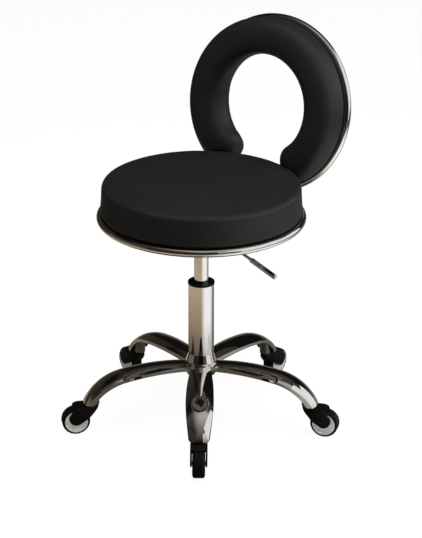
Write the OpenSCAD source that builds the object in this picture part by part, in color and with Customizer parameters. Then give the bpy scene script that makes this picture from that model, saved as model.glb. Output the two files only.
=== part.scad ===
// Stool with a round padded seat, a ring backrest, a gas column and a five-leg base on casters.
// The origin is on the floor, on the column's axis. The sitter faces -Y and the backrest stands at +Y.

/* [Seat] */
// Outer diameter of the bright ring round the seat
seat_ring_d = 400; // [360:1:440]
// Outer diameter of the tube that both rings are bent from
ring_tube_d = 15; // [12:0.5:18]
// Height of the seat ring's tube centre above the floor, as shown
seat_ring_z = 426; // [415:1:440]
// How far the cushion's widest place lies inside the ring's outer edge
cushion_inset = 6.5; // [3:0.5:20]
// How much narrower the cushion is at its top edge
cushion_draw = 5; // [0:0.5:12]
// Height of the cushion's side, from its foot to its top edge
cushion_h = 60; // [45:1:80]
// Rise of the cushion's crown above its top edge
cushion_crown = 10; // [4:0.5:18]
// Radius of the cushion's top edge
cushion_edge_r = 13; // [8:0.5:18]
// Radius of the cushion's foot
cushion_foot_r = 7.5; // [4:0.5:12]
// Gap between the plywood seat board and the ring
board_gap = 3; // [2:0.5:12]
// Thickness of the seat board
board_t = 12; // [9:0.5:15]

/* [Backrest] */
// Outer diameter of the backrest ring
back_ring_d = 350; // [320:1:380]
// Height of the backrest ring's centre above the seat ring
back_rise = 161; // [155:1:200]
// Distance of the backrest ring's centre behind the seat ring's outer edge
back_set = 44; // [42:0.5:55]
// Lean of the backrest
back_lean = 10; // [4:0.5:14]
// How far the pad's outer edge lies inside the ring's outer edge
pad_inset = 4; // [3.5:0.5:16]
// Diameter of the hole in the pad
pad_hole_d = 194; // [160:1:210]
// Thickness of the pad from front to back
pad_t = 72; // [50:1:80]
// How far the pad's back lies behind the ring's plane
pad_back = 4; // [2:0.5:5]
// Width of the gap between the pad's two ends
pad_gap = 117; // [90:1:130]
// Length of the rounding at the pad's ends
pad_end_l = 42; // [20:1:50]
// How much fuller the pad's inner side is near its ends
pad_swell = 4; // [0:0.5:6]
// How far the pad's front draws back over the seat at its ends
pad_end_draw = 5; // [0:0.5:14]
// Thickness of the backrest board
back_board_t = 10; // [6:0.5:12]
// Width of the backrest board
back_board_w = 40; // [30:1:46]

/* [Seat fixings] */
// Length of the seat plate
plate_l = 180; // [160:1:200]
// Width of the seat plate
plate_w = 150; // [130:1:165]
// Thickness of the seat plate
plate_t = 3; // [2:0.5:4]
// Hole spacing of the seat plate along its length
plate_hole_x = 140; // [110:1:150]
// Hole spacing of the seat plate along its width
plate_hole_y = 110; // [90:1:120]
// Bolt diameter in the seat board
bolt_d = 8; // [6:0.5:10]
// Thickness of the lugs that hold the rings
lug_t = 3; // [2:0.5:4]
// Width of the lugs
lug_w = 22; // [14:1:30]
// Thickness of the bracket that carries the backrest
bracket_t = 5; // [4:0.5:6]
// Width of the bracket
bracket_w = 50; // [40:1:70]
// Height of the bracket's upright above the seat ring's tube centre
bracket_rise = 22; // [10:1:40]

/* [Column] */
// Outer diameter of the column tube
column_d = 50; // [46:1:54]
// Wall of the column tube
column_wall = 2; // [1.5:0.25:3]
// Height of the column tube's top above the floor
column_top = 286.5; // [270:0.5:288]
// Outer diameter of the gas cylinder
cylinder_d = 28; // [26:0.5:30]
// Wall of the gas cylinder
cylinder_wall = 2; // [1.5:0.25:2.5]
// Diameter of the piston rod
rod_d = 10; // [8:0.5:12]
// Diameter of the black collar on the column
collar_d = 52; // [51:0.5:56]
// Height of the collar
collar_h = 4; // [2:0.5:8]
// Length of the guide inside the column
guide_l = 82; // [50:1:90]
// How far the seat goes down from the height shown
stroke_down = 70; // [40:1:70]
// How far the seat goes up from the height shown
stroke_up = 50; // [30:1:55]

/* [Lever] */
// Bearing of the lever from +X, seen from above
lever_bearing = -14; // [-40:1:30]
// Slope of the lever below level
lever_drop = 11.4; // [8:0.2:13]
// Distance of the lever's tip from the column's axis
lever_reach = 214; // [190:1:240]
// Diameter of the lever's rod
lever_rod_d = 6; // [5:0.5:8]
// Diameter of the lever's handle
handle_d = 10; // [9:0.5:14]
// Length of the handle
handle_l = 70; // [50:1:90]
// Distance of the lever's pin from the column's axis
lever_arm = 28; // [24:0.5:34]
// Diameter of the lever's pin
lever_pin_d = 5; // [4:0.5:6]
// Diameter of the release button
button_d = 7; // [5:0.5:8]

/* [Base] */
// Bearing of the first leg from +X, seen from above
base_turn = -55.1; // [-90:0.1:0]
// Distance of the caster stems from the column's axis
stem_r = 218; // [205:0.5:222]
// Diameter of the hub
hub_d = 62; // [58:1:66]
// Height of the hub's underside above the floor
hub_z = 97; // [92:0.5:100]
// Height of the hub's straight side
hub_h = 29; // [26:0.5:32]
// Height of the cone on the hub
hub_cone_h = 16; // [10:0.5:20]
// How much narrower the hub is at its foot, on each side
hub_draw = 3; // [0:0.5:4]
// Distance from the axis to the highest point of a leg
leg_apex_r = 85; // [70:1:100]
// Height of a leg's highest point
leg_apex_z = 126.5; // [124:0.5:128]
// Radius of a leg's long curve
leg_arc_r = 446; // [380:1:600]
// Distance from the axis to where a leg starts to bend down
leg_bend_r = 160; // [150:1:170]
// Distance from the caster's stem out to the point that sets the leg's bend
leg_tip_reach = 19; // [15:0.5:22]
// Height of the point that sets the leg's bend
leg_tip_z = 64; // [58:0.5:66]
// Width of a leg where it is widest
leg_w = 53.5; // [50:0.5:57]
// Width of a leg where it leaves the hub
leg_root_w = 37; // [34:0.5:37.5]
// Width of a leg at its tip
leg_tip_w = 34; // [32:0.5:40]
// Distance from the axis to where a leg is widest
leg_wide_r = 162; // [150:1:175]
// Depth of a leg from its crown to its lower edge
leg_depth = 13.5; // [11:0.5:16]
// Radius of a leg's crown across its width
leg_crown_r = 50; // [42:1:60]
// Wall of a leg
leg_wall = 2.5; // [1.5:0.25:3]
// Diameter of the sockets in the leg ends
socket_d = 22; // [18:0.5:24]

/* [Casters] */
// Wheel diameter over the tyre
wheel_d = 55; // [50:0.5:56]
// Width of the tyre
tyre_w = 24; // [20:0.5:24]
// Thickness of the tyre
tyre_t = 5; // [3:0.5:6]
// Distance of the axle behind the stem
caster_trail = 36; // [34:0.5:38]
// Diameter of the stem
stem_d = 10; // [8:0.5:11]
// Length of the stem inside the leg's socket
stem_l = 15; // [12:0.5:15]
// Width of the yoke over its cheeks
yoke_w = 32.5; // [32:0.5:36]
// Thickness of a cheek
cheek_t = 3.25; // [2.5:0.25:3.5]
// Thickness of the bridge over the wheel
bridge_t = 2.75; // [2.5:0.25:4]
// Radius of a cheek's round end
cheek_r = 14; // [12:0.5:15]
// Diameter of the axle
axle_d = 8; // [6:0.5:9]

/* [Hidden] */
$fn = 96;
leg_count = 5;
leg_step = 360 / leg_count;
// How far each caster is turned away from straight out, as shown
caster_turns = [0, 2, 0, 0, -6];
run_gap = 0.05;
air_gap = 0.5;
eps = 1;

// Seat heights, from the ring down and up
tube_r = ring_tube_d / 2;
ring_r = seat_ring_d / 2 - tube_r;
ring_sink = 0.5;
cushion_d = seat_ring_d - 2 * cushion_inset;
board_d = seat_ring_d - 2 * ring_tube_d - 2 * board_gap;
board_z = seat_ring_z - tube_r + ring_sink;
board_top = board_z + board_t;
foot_z = seat_ring_z + tube_r + air_gap;
cushion_r = cushion_d / 2;
edge_x = cushion_r - cushion_draw / 2 - cushion_edge_r;
edge_z = foot_z + cushion_h - cushion_edge_r;
crown_z = foot_z + cushion_h + cushion_crown;
crown_drop = crown_z - edge_z;
// Radius of the crown that runs smoothly into the edge
crown_r = (edge_x * edge_x + crown_drop * crown_drop - cushion_edge_r * cushion_edge_r)
    / (2 * (crown_drop - cushion_edge_r));
crown_a = asin(edge_x / (crown_r - cushion_edge_r));

// Backrest, in its own leaning frame: X across, Y to the back, Z up along the ring
back_z = seat_ring_z + back_rise;
back_reach = seat_ring_d / 2 + back_set;
pad_d = back_ring_d - 2 * pad_inset;
back_ring_r = back_ring_d / 2 - tube_r;
pad_mid_r = (pad_d + pad_hole_d) / 4;
pad_half_w = (pad_d - pad_hole_d) / 4;
pad_half_t = pad_t / 2;
pad_centre_y = pad_back + ring_sink - pad_half_t;
// The pad's back lies on the front of its board
soft_gap = 0.3;
pad_flat_y = pad_back - back_board_t - soft_gap;
pad_front_power = 2.6;
pad_back_power = 2.35;
pad_end_power = 2.2;
pad_end_reach = 90;
pad_sides = 24;
pad_steps = 38;
pad_end_steps = 5;
pad_end_a = asin(pad_gap / 2 / pad_mid_r);
back_board_in = pad_mid_r - back_board_w / 2;
back_board_out = pad_mid_r + back_board_w / 2;
board_end_gap = 24;
back_board_a = asin((pad_gap / 2 + board_end_gap) / pad_mid_r);
back_lug_angles = [35, 145, 215, 325];
seat_lug_angles = [45, 135, 225, 315];
back_lug_y = pad_back;
lug_l = 30;
lug_short = 4;
screw_d = 4;
screw_l = 9;
screw_head_d = 8;
screw_head_h = 2.5;
lug_screw_in = 19.5;
seat_screw_r = ring_r - lug_screw_in;
seat_lug_r = ring_r - lug_short - lug_l;
back_screw_r = back_board_out - screw_head_d;

// Bracket from the board to the backrest ring
bracket_lap = 77;
bracket_in = board_d / 2 - bracket_lap;
bracket_z = board_z - bracket_t;
ring_low_y = back_reach - back_ring_r * sin(back_lean);
ring_low_z = back_z - back_ring_r * cos(back_lean);
bracket_back = -tube_r + ring_sink;
bracket_top = seat_ring_z + bracket_rise;
bracket_bolt_x = 15;
bracket_bolt_in = [57, 22];
bracket_bolt_y = [for (d = bracket_bolt_in) board_d / 2 - d];

// Fixings
plate_z = board_z - plate_t;
bolt_head_d = bolt_d * 1.625 / cos(30);
bolt_head_h = 5;
bolt_tip = 1;
tee_flange_d = 20;
tee_flange_t = 1.5;
tee_wall = 1;
tee_foot = 1;
plate_bolts = [for (x = [-1, 1], y = [-1, 1]) [x * plate_hole_x / 2, y * plate_hole_y / 2, plate_z]];
bracket_bolts = [for (x = [-1, 1], y = bracket_bolt_y) [x * bracket_bolt_x, y, bracket_z]];
all_bolts = concat(plate_bolts, bracket_bolts);

// Lever line: it crosses the column's axis at lever_z
channel_w = 58;
channel_wall = 3;
channel_h = 32;
channel_in = 45;
channel_out = 70;
lever_set = 7;
lever_z = plate_z - lever_set;
pin_z = lever_z - lever_arm * tan(lever_drop);
lever_boss_d = 11;
lever_boss_l = 16;
pin_head_d = 8;
pin_head_t = 1.5;
lever_tail = 6;
handle_wall = 8;
button_gap = 0.2;
button_top = lever_z - button_d / 2 * tan(lever_drop) - lever_rod_d / 2 / cos(lever_drop) - button_gap;
button_show = 8;
channel_z = plate_z - channel_h;

// Column and gas cylinder
cylinder_top = button_top - button_show;
cylinder_r = cylinder_d / 2;
cylinder_cap = 12;
taper_l = 35;
taper_in = 0.9;
bush_wall = 6;
bush_l = 31;
bush_set = 2;
bush_z = cylinder_top - taper_l + bush_set;
cylinder_in_r = cylinder_r - cylinder_wall;
column_in_r = column_d / 2 - column_wall;
column_drop = 2;
column_z = hub_z - column_drop;
column_floor = 4;
column_taper = 0.8;
hub_top = hub_z + hub_h + hub_cone_h;
hub_lip = 0.6;
hub_foot_h = 13;
rod_step = 1;
rod_neck_d = rod_d - 2 * rod_step;
bearing_z = column_z + column_floor;
washer_r = 12;
washer_t = 1.5;
ball_d = 3.5;
ball_count = 10;
ball_ring_r = 8.6;
race_h = ball_d + 2 * run_gap;
shoulder_z = bearing_z + 2 * washer_t + race_h;
bump_r = 14;
bump_l = 20;
seal_l = 16;
cylinder_z = shoulder_z + bump_l + stroke_down + air_gap;
piston_l = 14;
piston_spare = 14;
piston_top = cylinder_z + seal_l + stroke_up + piston_l + piston_spare;
clip_r = 10;
clip_t = 1.5;
clip_gap = 0.1;
rod_end = 4;
button_rest = 1;
button_l = cylinder_cap + button_show - button_rest;

// Legs: a long arc and a tighter one, tangent where the leg starts to bend
hub_r = hub_d / 2;
arc_a = asin((leg_bend_r - leg_apex_r) / leg_arc_r);
arc_c = [leg_apex_r, leg_apex_z - leg_arc_r];
bend_z = arc_c[1] + leg_arc_r * cos(arc_a);
leg_tip_r = stem_r + leg_tip_reach;
tip_dx = leg_tip_r - leg_bend_r;
tip_dz = leg_tip_z - bend_z;
bend_r = -(tip_dx * tip_dx + tip_dz * tip_dz) / 2 / (tip_dx * sin(arc_a) + tip_dz * cos(arc_a));
bend_c = [leg_bend_r - bend_r * sin(arc_a), bend_z - bend_r * cos(arc_a)];
root_a = asin(leg_apex_r / leg_arc_r);
tip_a = 15;
lap_a = 0.2;
lap_sink = 0.05;
plan_dx = leg_tip_r - leg_wide_r;
plan_dy = (leg_w - leg_tip_w) / 2;
plan_r = (plan_dx * plan_dx + plan_dy * plan_dy) / 2 / plan_dy;
root_dx = leg_wide_r - hub_r;
// Neighbouring legs stay clear of each other where they leave the hub
root_w = min(leg_root_w, 2 * hub_r * sin(leg_step / 2) + 1);
root_dy = (leg_w - root_w) / 2;
root_r = (root_dx * root_dx + root_dy * root_dy) / 2 / root_dy;

// Casters, in their own frame: the stem on Z, the wheel out along +X
wheel_r = wheel_d / 2;
rim_r = wheel_r - tyre_t;
well_gap = 1.25;
well_r = wheel_r + well_gap;
yoke_top = wheel_d + well_gap + bridge_t;
top_h = yoke_top - wheel_r;
cheek_rise = 8;
nose_r = 9.5;
nose_low = 27.5;
nose_fall = 21;
nose_in = 28;
web_w = 2 * nose_r;
shoulder_x = 12;
flange_t = 0.4;
flange_d = 16;
leg_clear = 3.2;
leg_end_z = yoke_top + leg_clear;
seat_gap = 0.1;
socket_z = yoke_top + flange_t + seat_gap;
stem_depth = 8;
top_round = [4, 3];
arm_out = [12.2, 6.9];
arm_mid = [6, 22];
arm_back = [-24.5, 7];
arm_low = [-7.8, -11.6];
disc_inset = 0.5;
disc_half = tyre_w / 2 - disc_inset;
dish_in = 9;
dish_out = 19;
dish_depth = 1;
wheel_boss_r = 7.5;
side_gap = 0.6;
axle_end = 1;

// Where a point lies in Y, given its depth behind the backrest ring's plane and its height
function lean_y(depth, z) = ring_low_y + (depth + (z - ring_low_z) * sin(back_lean)) / cos(back_lean);
// A power that keeps the sign
function spow(v, p) = sign(v) * pow(abs(v), p);
// One point of the pad's section: distance out from the ring's centre line and depth
function pad_point(a, s, q) =
    let (p = sin(a) > 0 ? pad_back_power : pad_front_power, c = spow(cos(a), 2 / p), d = spow(sin(a), 2 / p))
    [s * c * (pad_half_w + (c < 0 ? pad_swell * q : 0)),
     min(s * d * (pad_half_t - (d < 0 ? pad_end_draw * q : 0)), pad_flat_y - pad_centre_y)];
// How near a place is to the pad's tip, from 0 in the middle to 1 at the tip
function pad_near(d) = let (q = max(0, 1 - d / pad_end_reach)) q * q * (3 - 2 * q);
// Share of the full section that is left at a distance from the pad's tip
function pad_share(d) =
    d >= pad_end_l ? 1 : pow(1 - pow(1 - d / pad_end_l, pad_end_power), 1 / pad_end_power);
// One ring of points of the pad, at a bearing round the backrest
function pad_ring(b, s, q) = [for (i = [0:pad_sides - 1])
    let (p = pad_point(i * 360 / pad_sides, s, q), r = pad_mid_r + p[0])
    [r * cos(b), pad_centre_y + p[1], r * sin(b)]];

module in_back() {
    translate([0, back_reach, back_z]) rotate([-back_lean, 0, 0]) children();
}

module at_leg(n) {
    rotate([0, 0, base_turn + leg_step * (n - 1)]) children();
}

module at_caster(n) {
    at_leg(n) translate([stem_r, 0, 0]) rotate([0, 0, caster_turns[n - 1]]) children();
}

module at_lever() {
    rotate([0, 0, lever_bearing]) children();
}

module torus(big, small) {
    rotate_extrude() translate([big, 0]) circle(small);
}

module seat_ring_solid() {
    translate([0, 0, seat_ring_z]) torus(ring_r, tube_r);
}

module back_ring_solid() {
    in_back() rotate([90, 0, 0]) torus(back_ring_r, tube_r);
}

// Leg frame: the leg runs out along +X
module leg_section(r, depth, crown) {
    intersection() {
        translate([r - crown, 0]) circle(crown);
        translate([r - depth, -leg_w]) square([depth, 2 * leg_w]);
    }
}

module leg_arc(c, r, low, high, depth, crown) {
    translate([c[0], 0, c[1]]) rotate([90, 0, 0]) rotate([0, 0, low])
        rotate_extrude(angle = high - low) leg_section(r, depth, crown);
}

// The long arc laps a little way over the tight one, which lies a hair lower there
module leg_sweep(inset, depth) {
    union() {
        leg_arc(arc_c, leg_arc_r - inset, 90 - arc_a - lap_a, 90 + root_a, depth, leg_crown_r - inset);
        leg_arc(bend_c, bend_r - inset - lap_sink, tip_a, 90 - arc_a, depth - 2 * lap_sink,
            leg_crown_r - inset - lap_sink);
    }
}

// Room under the leg's crown, past the place where it starts to bend
module leg_bend_room() {
    translate([bend_c[0], 0, bend_c[1]]) rotate([90, 0, 0])
        rotate_extrude(angle = 90) leg_section(bend_r - leg_wall - lap_sink, bend_r - leg_wall - lap_sink - eps,
            leg_crown_r - leg_wall - lap_sink);
}

// Each side runs in a wide arc from the hub, which lies a hair inside the tighter one to the tip
module leg_plan(inset, start) {
    union() {
        intersection_for (s = [-1, 1]) translate([leg_wide_r, s * (plan_r - leg_w / 2), 0])
            cylinder(r = plan_r - inset, h = leg_apex_z + eps, $fn = 256);
        intersection() {
            intersection_for (s = [-1, 1]) translate([leg_wide_r, s * (root_r - leg_w / 2), 0])
                cylinder(r = root_r - inset - lap_sink, h = leg_apex_z + eps, $fn = 1024);
            translate([start, -leg_w, -eps]) cube([leg_wide_r - start, 2 * leg_w, leg_apex_z + 3 * eps]);
        }
    }
}

module leg(n) {
    color("silver") at_leg(n) difference() {
        intersection() {
            leg_sweep(0, leg_depth);
            leg_plan(0, 0);
            translate([0, -leg_w, leg_end_z]) cube([leg_tip_r + eps, 2 * leg_w, leg_apex_z]);
        }
        intersection() {
            leg_sweep(leg_wall, leg_depth + eps);
            leg_plan(leg_wall, hub_r / 2);
        }
        translate([0, 0, hub_z - eps]) cylinder(r = hub_r, h = leg_apex_z);
    }
}

module caster_sockets() {
    color("silver") for (n = [1:leg_count]) at_leg(n) difference() {
        intersection() {
            translate([stem_r, 0, socket_z]) cylinder(d = socket_d, h = leg_apex_z - socket_z);
            leg_bend_room();
        }
        translate([stem_r, 0, socket_z - eps]) cylinder(r = stem_d / 2 + run_gap, h = stem_l + eps + air_gap);
    }
}

module base_hub() {
    color("silver") difference() {
        union() {
            translate([0, 0, hub_z]) cylinder(r1 = hub_r - hub_draw, r2 = hub_r, h = hub_foot_h);
            translate([0, 0, hub_z + hub_foot_h]) cylinder(r = hub_r, h = hub_h - hub_foot_h);
            translate([0, 0, hub_z + hub_h]) cylinder(r1 = hub_r, r2 = column_d / 2 + hub_lip, h = hub_cone_h);
        }
        column_taper_solid();
    }
}

module column_taper_solid() {
    translate([0, 0, column_z])
        cylinder(r1 = column_d / 2 - column_taper, r2 = column_d / 2, h = hub_top - column_z);
}

module column_tube() {
    color("silver") difference() {
        union() {
            column_taper_solid();
            translate([0, 0, hub_top]) cylinder(r = column_d / 2, h = column_top - hub_top);
        }
        translate([0, 0, column_z + column_floor])
            cylinder(r1 = column_in_r - column_taper, r2 = column_in_r, h = hub_top - column_z - column_floor);
        translate([0, 0, hub_top]) cylinder(r = column_in_r, h = column_top);
        translate([0, 0, column_z - eps]) cylinder(r = rod_neck_d / 2 + run_gap, h = column_floor + 2 * eps);
    }
}

module column_guide() {
    color("black") difference() {
        union() {
            translate([0, 0, column_top - guide_l]) cylinder(r = column_in_r, h = guide_l);
            translate([0, 0, column_top]) cylinder(d = collar_d, h = collar_h);
        }
        translate([0, 0, column_top - guide_l - eps])
            cylinder(r = cylinder_r + run_gap, h = guide_l + collar_h + 2 * eps);
    }
}

module thrust_bearing() {
    color("silver") {
        for (z = [bearing_z, bearing_z + washer_t + race_h]) translate([0, 0, z]) difference() {
            cylinder(r = washer_r, h = washer_t);
            translate([0, 0, -eps]) cylinder(r = rod_neck_d / 2 + air_gap, h = washer_t + 2 * eps);
        }
        for (i = [1:ball_count]) rotate([0, 0, i * 360 / ball_count])
            translate([ball_ring_r, 0, bearing_z + washer_t + race_h / 2]) sphere(d = ball_d);
    }
}

module piston_rod() {
    color("silver") {
        translate([0, 0, column_z - clip_gap - clip_t - rod_end])
            cylinder(d = rod_neck_d, h = shoulder_z - column_z + clip_gap + clip_t + rod_end);
        translate([0, 0, shoulder_z]) cylinder(d = rod_d, h = piston_top - shoulder_z);
    }
}

module piston() {
    color("dimgray") translate([0, 0, piston_top - piston_l]) difference() {
        cylinder(r = cylinder_in_r - run_gap, h = piston_l);
        translate([0, 0, -eps]) cylinder(d = rod_d, h = piston_l + 2 * eps);
    }
}

module bump_stop() {
    color("black") translate([0, 0, shoulder_z]) difference() {
        cylinder(r = bump_r, h = bump_l);
        translate([0, 0, -eps]) cylinder(d = rod_d, h = bump_l + 2 * eps);
    }
}

module retaining_clip() {
    color("silver") translate([0, 0, column_z - clip_gap - clip_t]) difference() {
        cylinder(r = clip_r, h = clip_t);
        translate([0, 0, -eps]) cylinder(d = rod_neck_d, h = clip_t + 2 * eps);
    }
}

module cylinder_taper_solid() {
    translate([0, 0, cylinder_top - taper_l]) cylinder(r1 = cylinder_r, r2 = cylinder_r - taper_in, h = taper_l);
}

module gas_cylinder() {
    color("silver") difference() {
        union() {
            translate([0, 0, cylinder_z]) cylinder(r = cylinder_r, h = cylinder_top - taper_l - cylinder_z);
            cylinder_taper_solid();
        }
        translate([0, 0, cylinder_z - eps])
            cylinder(r = cylinder_in_r, h = cylinder_top - cylinder_cap - cylinder_z + eps);
        cylinder(r = button_d / 2 + run_gap, h = cylinder_top + eps);
    }
}

module cylinder_seal() {
    color("black") translate([0, 0, cylinder_z]) difference() {
        cylinder(r = cylinder_in_r, h = seal_l);
        translate([0, 0, -eps]) cylinder(r = rod_d / 2 + run_gap, h = seal_l + 2 * eps);
    }
}

module release_button() {
    color("silver") translate([0, 0, button_top - button_l]) cylinder(d = button_d, h = button_l);
}

module seat_plate() {
    color("dimgray") difference() {
        translate([-plate_l / 2, -plate_w / 2, plate_z]) cube([plate_l, plate_w, plate_t]);
        for (b = plate_bolts) translate([b[0], b[1], plate_z - eps]) cylinder(d = bolt_d, h = plate_t + 2 * eps);
    }
}

module socket_bracket() {
    color("dimgray") at_lever() difference() {
        translate([-channel_in, -channel_w / 2, channel_z]) cube([channel_in + channel_out, channel_w, channel_h]);
        translate([-channel_in - eps, -channel_w / 2 + channel_wall, channel_z + channel_wall])
            cube([channel_in + channel_out + 2 * eps, channel_w - 2 * channel_wall, channel_h]);
        translate([0, 0, channel_z - eps]) cylinder(r = cylinder_r + bush_wall, h = channel_wall + 2 * eps);
        translate([lever_arm, 0, pin_z]) rotate([90, 0, 0]) cylinder(d = lever_pin_d, h = channel_w + 2 * eps, center = true);
    }
}

module socket_bush() {
    color("dimgray") difference() {
        translate([0, 0, bush_z]) cylinder(r = cylinder_r + bush_wall, h = bush_l);
        cylinder_taper_solid();
    }
}

module lever_pin() {
    color("silver") at_lever() translate([lever_arm, 0, pin_z]) rotate([90, 0, 0]) {
        cylinder(d = lever_pin_d, h = channel_w + 2 * pin_head_t, center = true);
        for (s = [-1, 1]) translate([0, 0, s * (channel_w + pin_head_t) / 2])
            cylinder(d = pin_head_d, h = pin_head_t, center = true);
    }
}

// Lever frame: the origin where the lever's line crosses the axis, +X out along the lever
module along_lever() {
    at_lever() translate([0, 0, lever_z]) rotate([0, lever_drop, 0]) children();
}

module lever_rod() {
    tip = lever_reach / cos(lever_drop) - handle_wall;
    color("silver") difference() {
        union() {
            along_lever() translate([-lever_tail, 0, 0]) rotate([0, 90, 0])
                cylinder(d = lever_rod_d, h = tip + lever_tail);
            at_lever() translate([lever_arm, 0, pin_z]) rotate([90, 0, 0])
                cylinder(d = lever_boss_d, h = lever_boss_l, center = true);
        }
        at_lever() translate([lever_arm, 0, pin_z]) rotate([90, 0, 0])
            cylinder(d = lever_pin_d + 2 * run_gap, h = lever_boss_l + 2 * eps, center = true);
    }
}

module lever_handle() {
    tip = lever_reach / cos(lever_drop);
    color("silver") along_lever() difference() {
        union() {
            translate([tip - handle_l, 0, 0]) rotate([0, 90, 0]) cylinder(d = handle_d, h = handle_l - handle_d / 2);
            translate([tip - handle_d / 2, 0, 0]) sphere(d = handle_d);
        }
        translate([tip - handle_l - eps, 0, 0]) rotate([0, 90, 0])
            cylinder(d = lever_rod_d, h = handle_l - handle_wall + eps);
    }
}

module board_bolts() {
    color("silver") for (b = all_bolts) translate([b[0], b[1], b[2]]) {
        translate([0, 0, -bolt_head_h]) cylinder(d = bolt_head_d, h = bolt_head_h, $fn = 6);
        cylinder(d = bolt_d, h = board_top - bolt_tip - b[2]);
    }
}

module tee_nuts() {
    color("silver") for (b = all_bolts) translate([b[0], b[1], 0]) difference() {
        union() {
            translate([0, 0, board_z + tee_foot])
                cylinder(d = bolt_d + 2 * tee_wall, h = board_t - tee_foot);
            translate([0, 0, board_top - tee_flange_t]) cylinder(d = tee_flange_d, h = tee_flange_t);
        }
        translate([0, 0, board_z]) cylinder(d = bolt_d, h = board_t + eps);
    }
}

module seat_board() {
    color("burlywood") difference() {
        translate([0, 0, board_z]) cylinder(d = board_d, h = board_t);
        for (b = all_bolts) translate([b[0], b[1], 0]) {
            translate([0, 0, board_z - eps]) cylinder(d = bolt_d, h = board_t);
            translate([0, 0, board_z + tee_foot]) cylinder(d = bolt_d + 2 * tee_wall, h = board_t);
            translate([0, 0, board_top - tee_flange_t]) cylinder(d = tee_flange_d, h = board_t);
        }
        for (a = seat_lug_angles) rotate([0, 0, a]) {
            translate([seat_lug_r, -lug_w / 2, board_z - eps]) cube([lug_l, lug_w, lug_t + eps]);
            translate([seat_screw_r, 0, board_z]) cylinder(d = screw_d, h = screw_l);
        }
    }
}

// Half of the seat cushion's section, grown by a clearance
module cushion_profile(g) {
    side_x = cushion_r - cushion_draw / 2;
    union() {
        // Foot, with its rounded lower edge
        translate([0, foot_z - g]) square([cushion_r - cushion_foot_r, cushion_foot_r + g]);
        translate([cushion_r - cushion_foot_r, foot_z + cushion_foot_r]) circle(cushion_foot_r + g);
        // Side, drawn in towards the top
        polygon([[0, foot_z + cushion_foot_r], [cushion_r + g, foot_z + cushion_foot_r], [side_x + g, edge_z],
            [0, edge_z]]);
        // Rounded top edge and crown
        intersection() {
            translate([edge_x, edge_z]) circle(cushion_edge_r + g);
            translate([0, edge_z]) square([cushion_r + g, cushion_edge_r + g + eps]);
        }
        intersection() {
            translate([0, crown_z - crown_r]) circle(crown_r + g, $fn = 720);
            translate([0, edge_z]) square([(crown_r + g) * sin(crown_a), crown_drop + g + eps]);
        }
    }
}

module seat_cushion() {
    color("#161616") union() {
        rotate_extrude($fn = 192) cushion_profile(0);
        // Filling over the board, inside the ring
        translate([0, 0, board_top]) cylinder(d = board_d, h = foot_z - board_top + eps);
    }
}

module seat_ring() {
    color("silver") seat_ring_solid();
}

module ring_lugs() {
    color("silver") {
        for (a = seat_lug_angles) difference() {
            rotate([0, 0, a]) translate([seat_lug_r, -lug_w / 2, board_z]) cube([lug_l, lug_w, lug_t]);
            seat_ring_solid();
            rotate([0, 0, a]) translate([seat_screw_r, 0, 0]) cylinder(d = screw_d, h = board_top);
        }
        for (a = back_lug_angles) difference() {
            in_back() rotate([0, -a, 0]) translate([back_ring_r - lug_l, back_lug_y, -lug_w / 2])
                cube([lug_l, lug_t, lug_w]);
            back_ring_solid();
            in_back() rotate([0, -a, 0]) translate([back_screw_r, 0, 0]) rotate([-90, 0, 0])
                cylinder(d = screw_d, h = back_lug_y + lug_t + eps);
        }
    }
}

module lug_screw() {
    translate([0, 0, -screw_head_h]) cylinder(d = screw_head_d, h = screw_head_h);
    cylinder(d = screw_d, h = screw_l);
}

module lug_screws() {
    color("silver") {
        for (a = seat_lug_angles) rotate([0, 0, a]) translate([seat_screw_r, 0, board_z]) lug_screw();
        for (a = back_lug_angles) in_back() rotate([0, -a, 0])
            translate([back_screw_r, back_lug_y + lug_t, 0]) rotate([90, 0, 0]) lug_screw();
    }
}

module back_bracket() {
    front = bracket_back - bracket_t;
    color("silver") difference() {
        rotate([90, 0, 90]) translate([0, 0, -bracket_w / 2]) linear_extrude(bracket_w) polygon([
            [bracket_in, board_z], [bracket_in, bracket_z],
            [lean_y(bracket_back, bracket_z), bracket_z], [lean_y(bracket_back, bracket_top), bracket_top],
            [lean_y(front, bracket_top), bracket_top], [lean_y(front, board_z), board_z]
        ]);
        seat_ring_solid();
        back_ring_solid();
        for (b = bracket_bolts) translate([b[0], b[1], bracket_z - eps])
            cylinder(d = bolt_d, h = bracket_t + 2 * eps);
    }
}

module backrest_ring() {
    color("silver") back_ring_solid();
}

module backrest_board_solid() {
    reach = pad_d;
    in_back() translate([0, pad_back, 0]) rotate([90, 0, 0]) linear_extrude(back_board_t) difference() {
        circle(back_board_out);
        circle(back_board_in);
        polygon([[0, 0], [-reach * sin(back_board_a), -reach * cos(back_board_a)],
            [reach * sin(back_board_a), -reach * cos(back_board_a)]]);
    }
}

module backrest_board() {
    color("#222222") difference() {
        backrest_board_solid();
        for (a = back_lug_angles) in_back() rotate([0, -a, 0])
            translate([back_screw_r, pad_back + eps, 0]) rotate([90, 0, 0])
                cylinder(d = screw_d, h = screw_l - lug_t + eps);
    }
}

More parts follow.
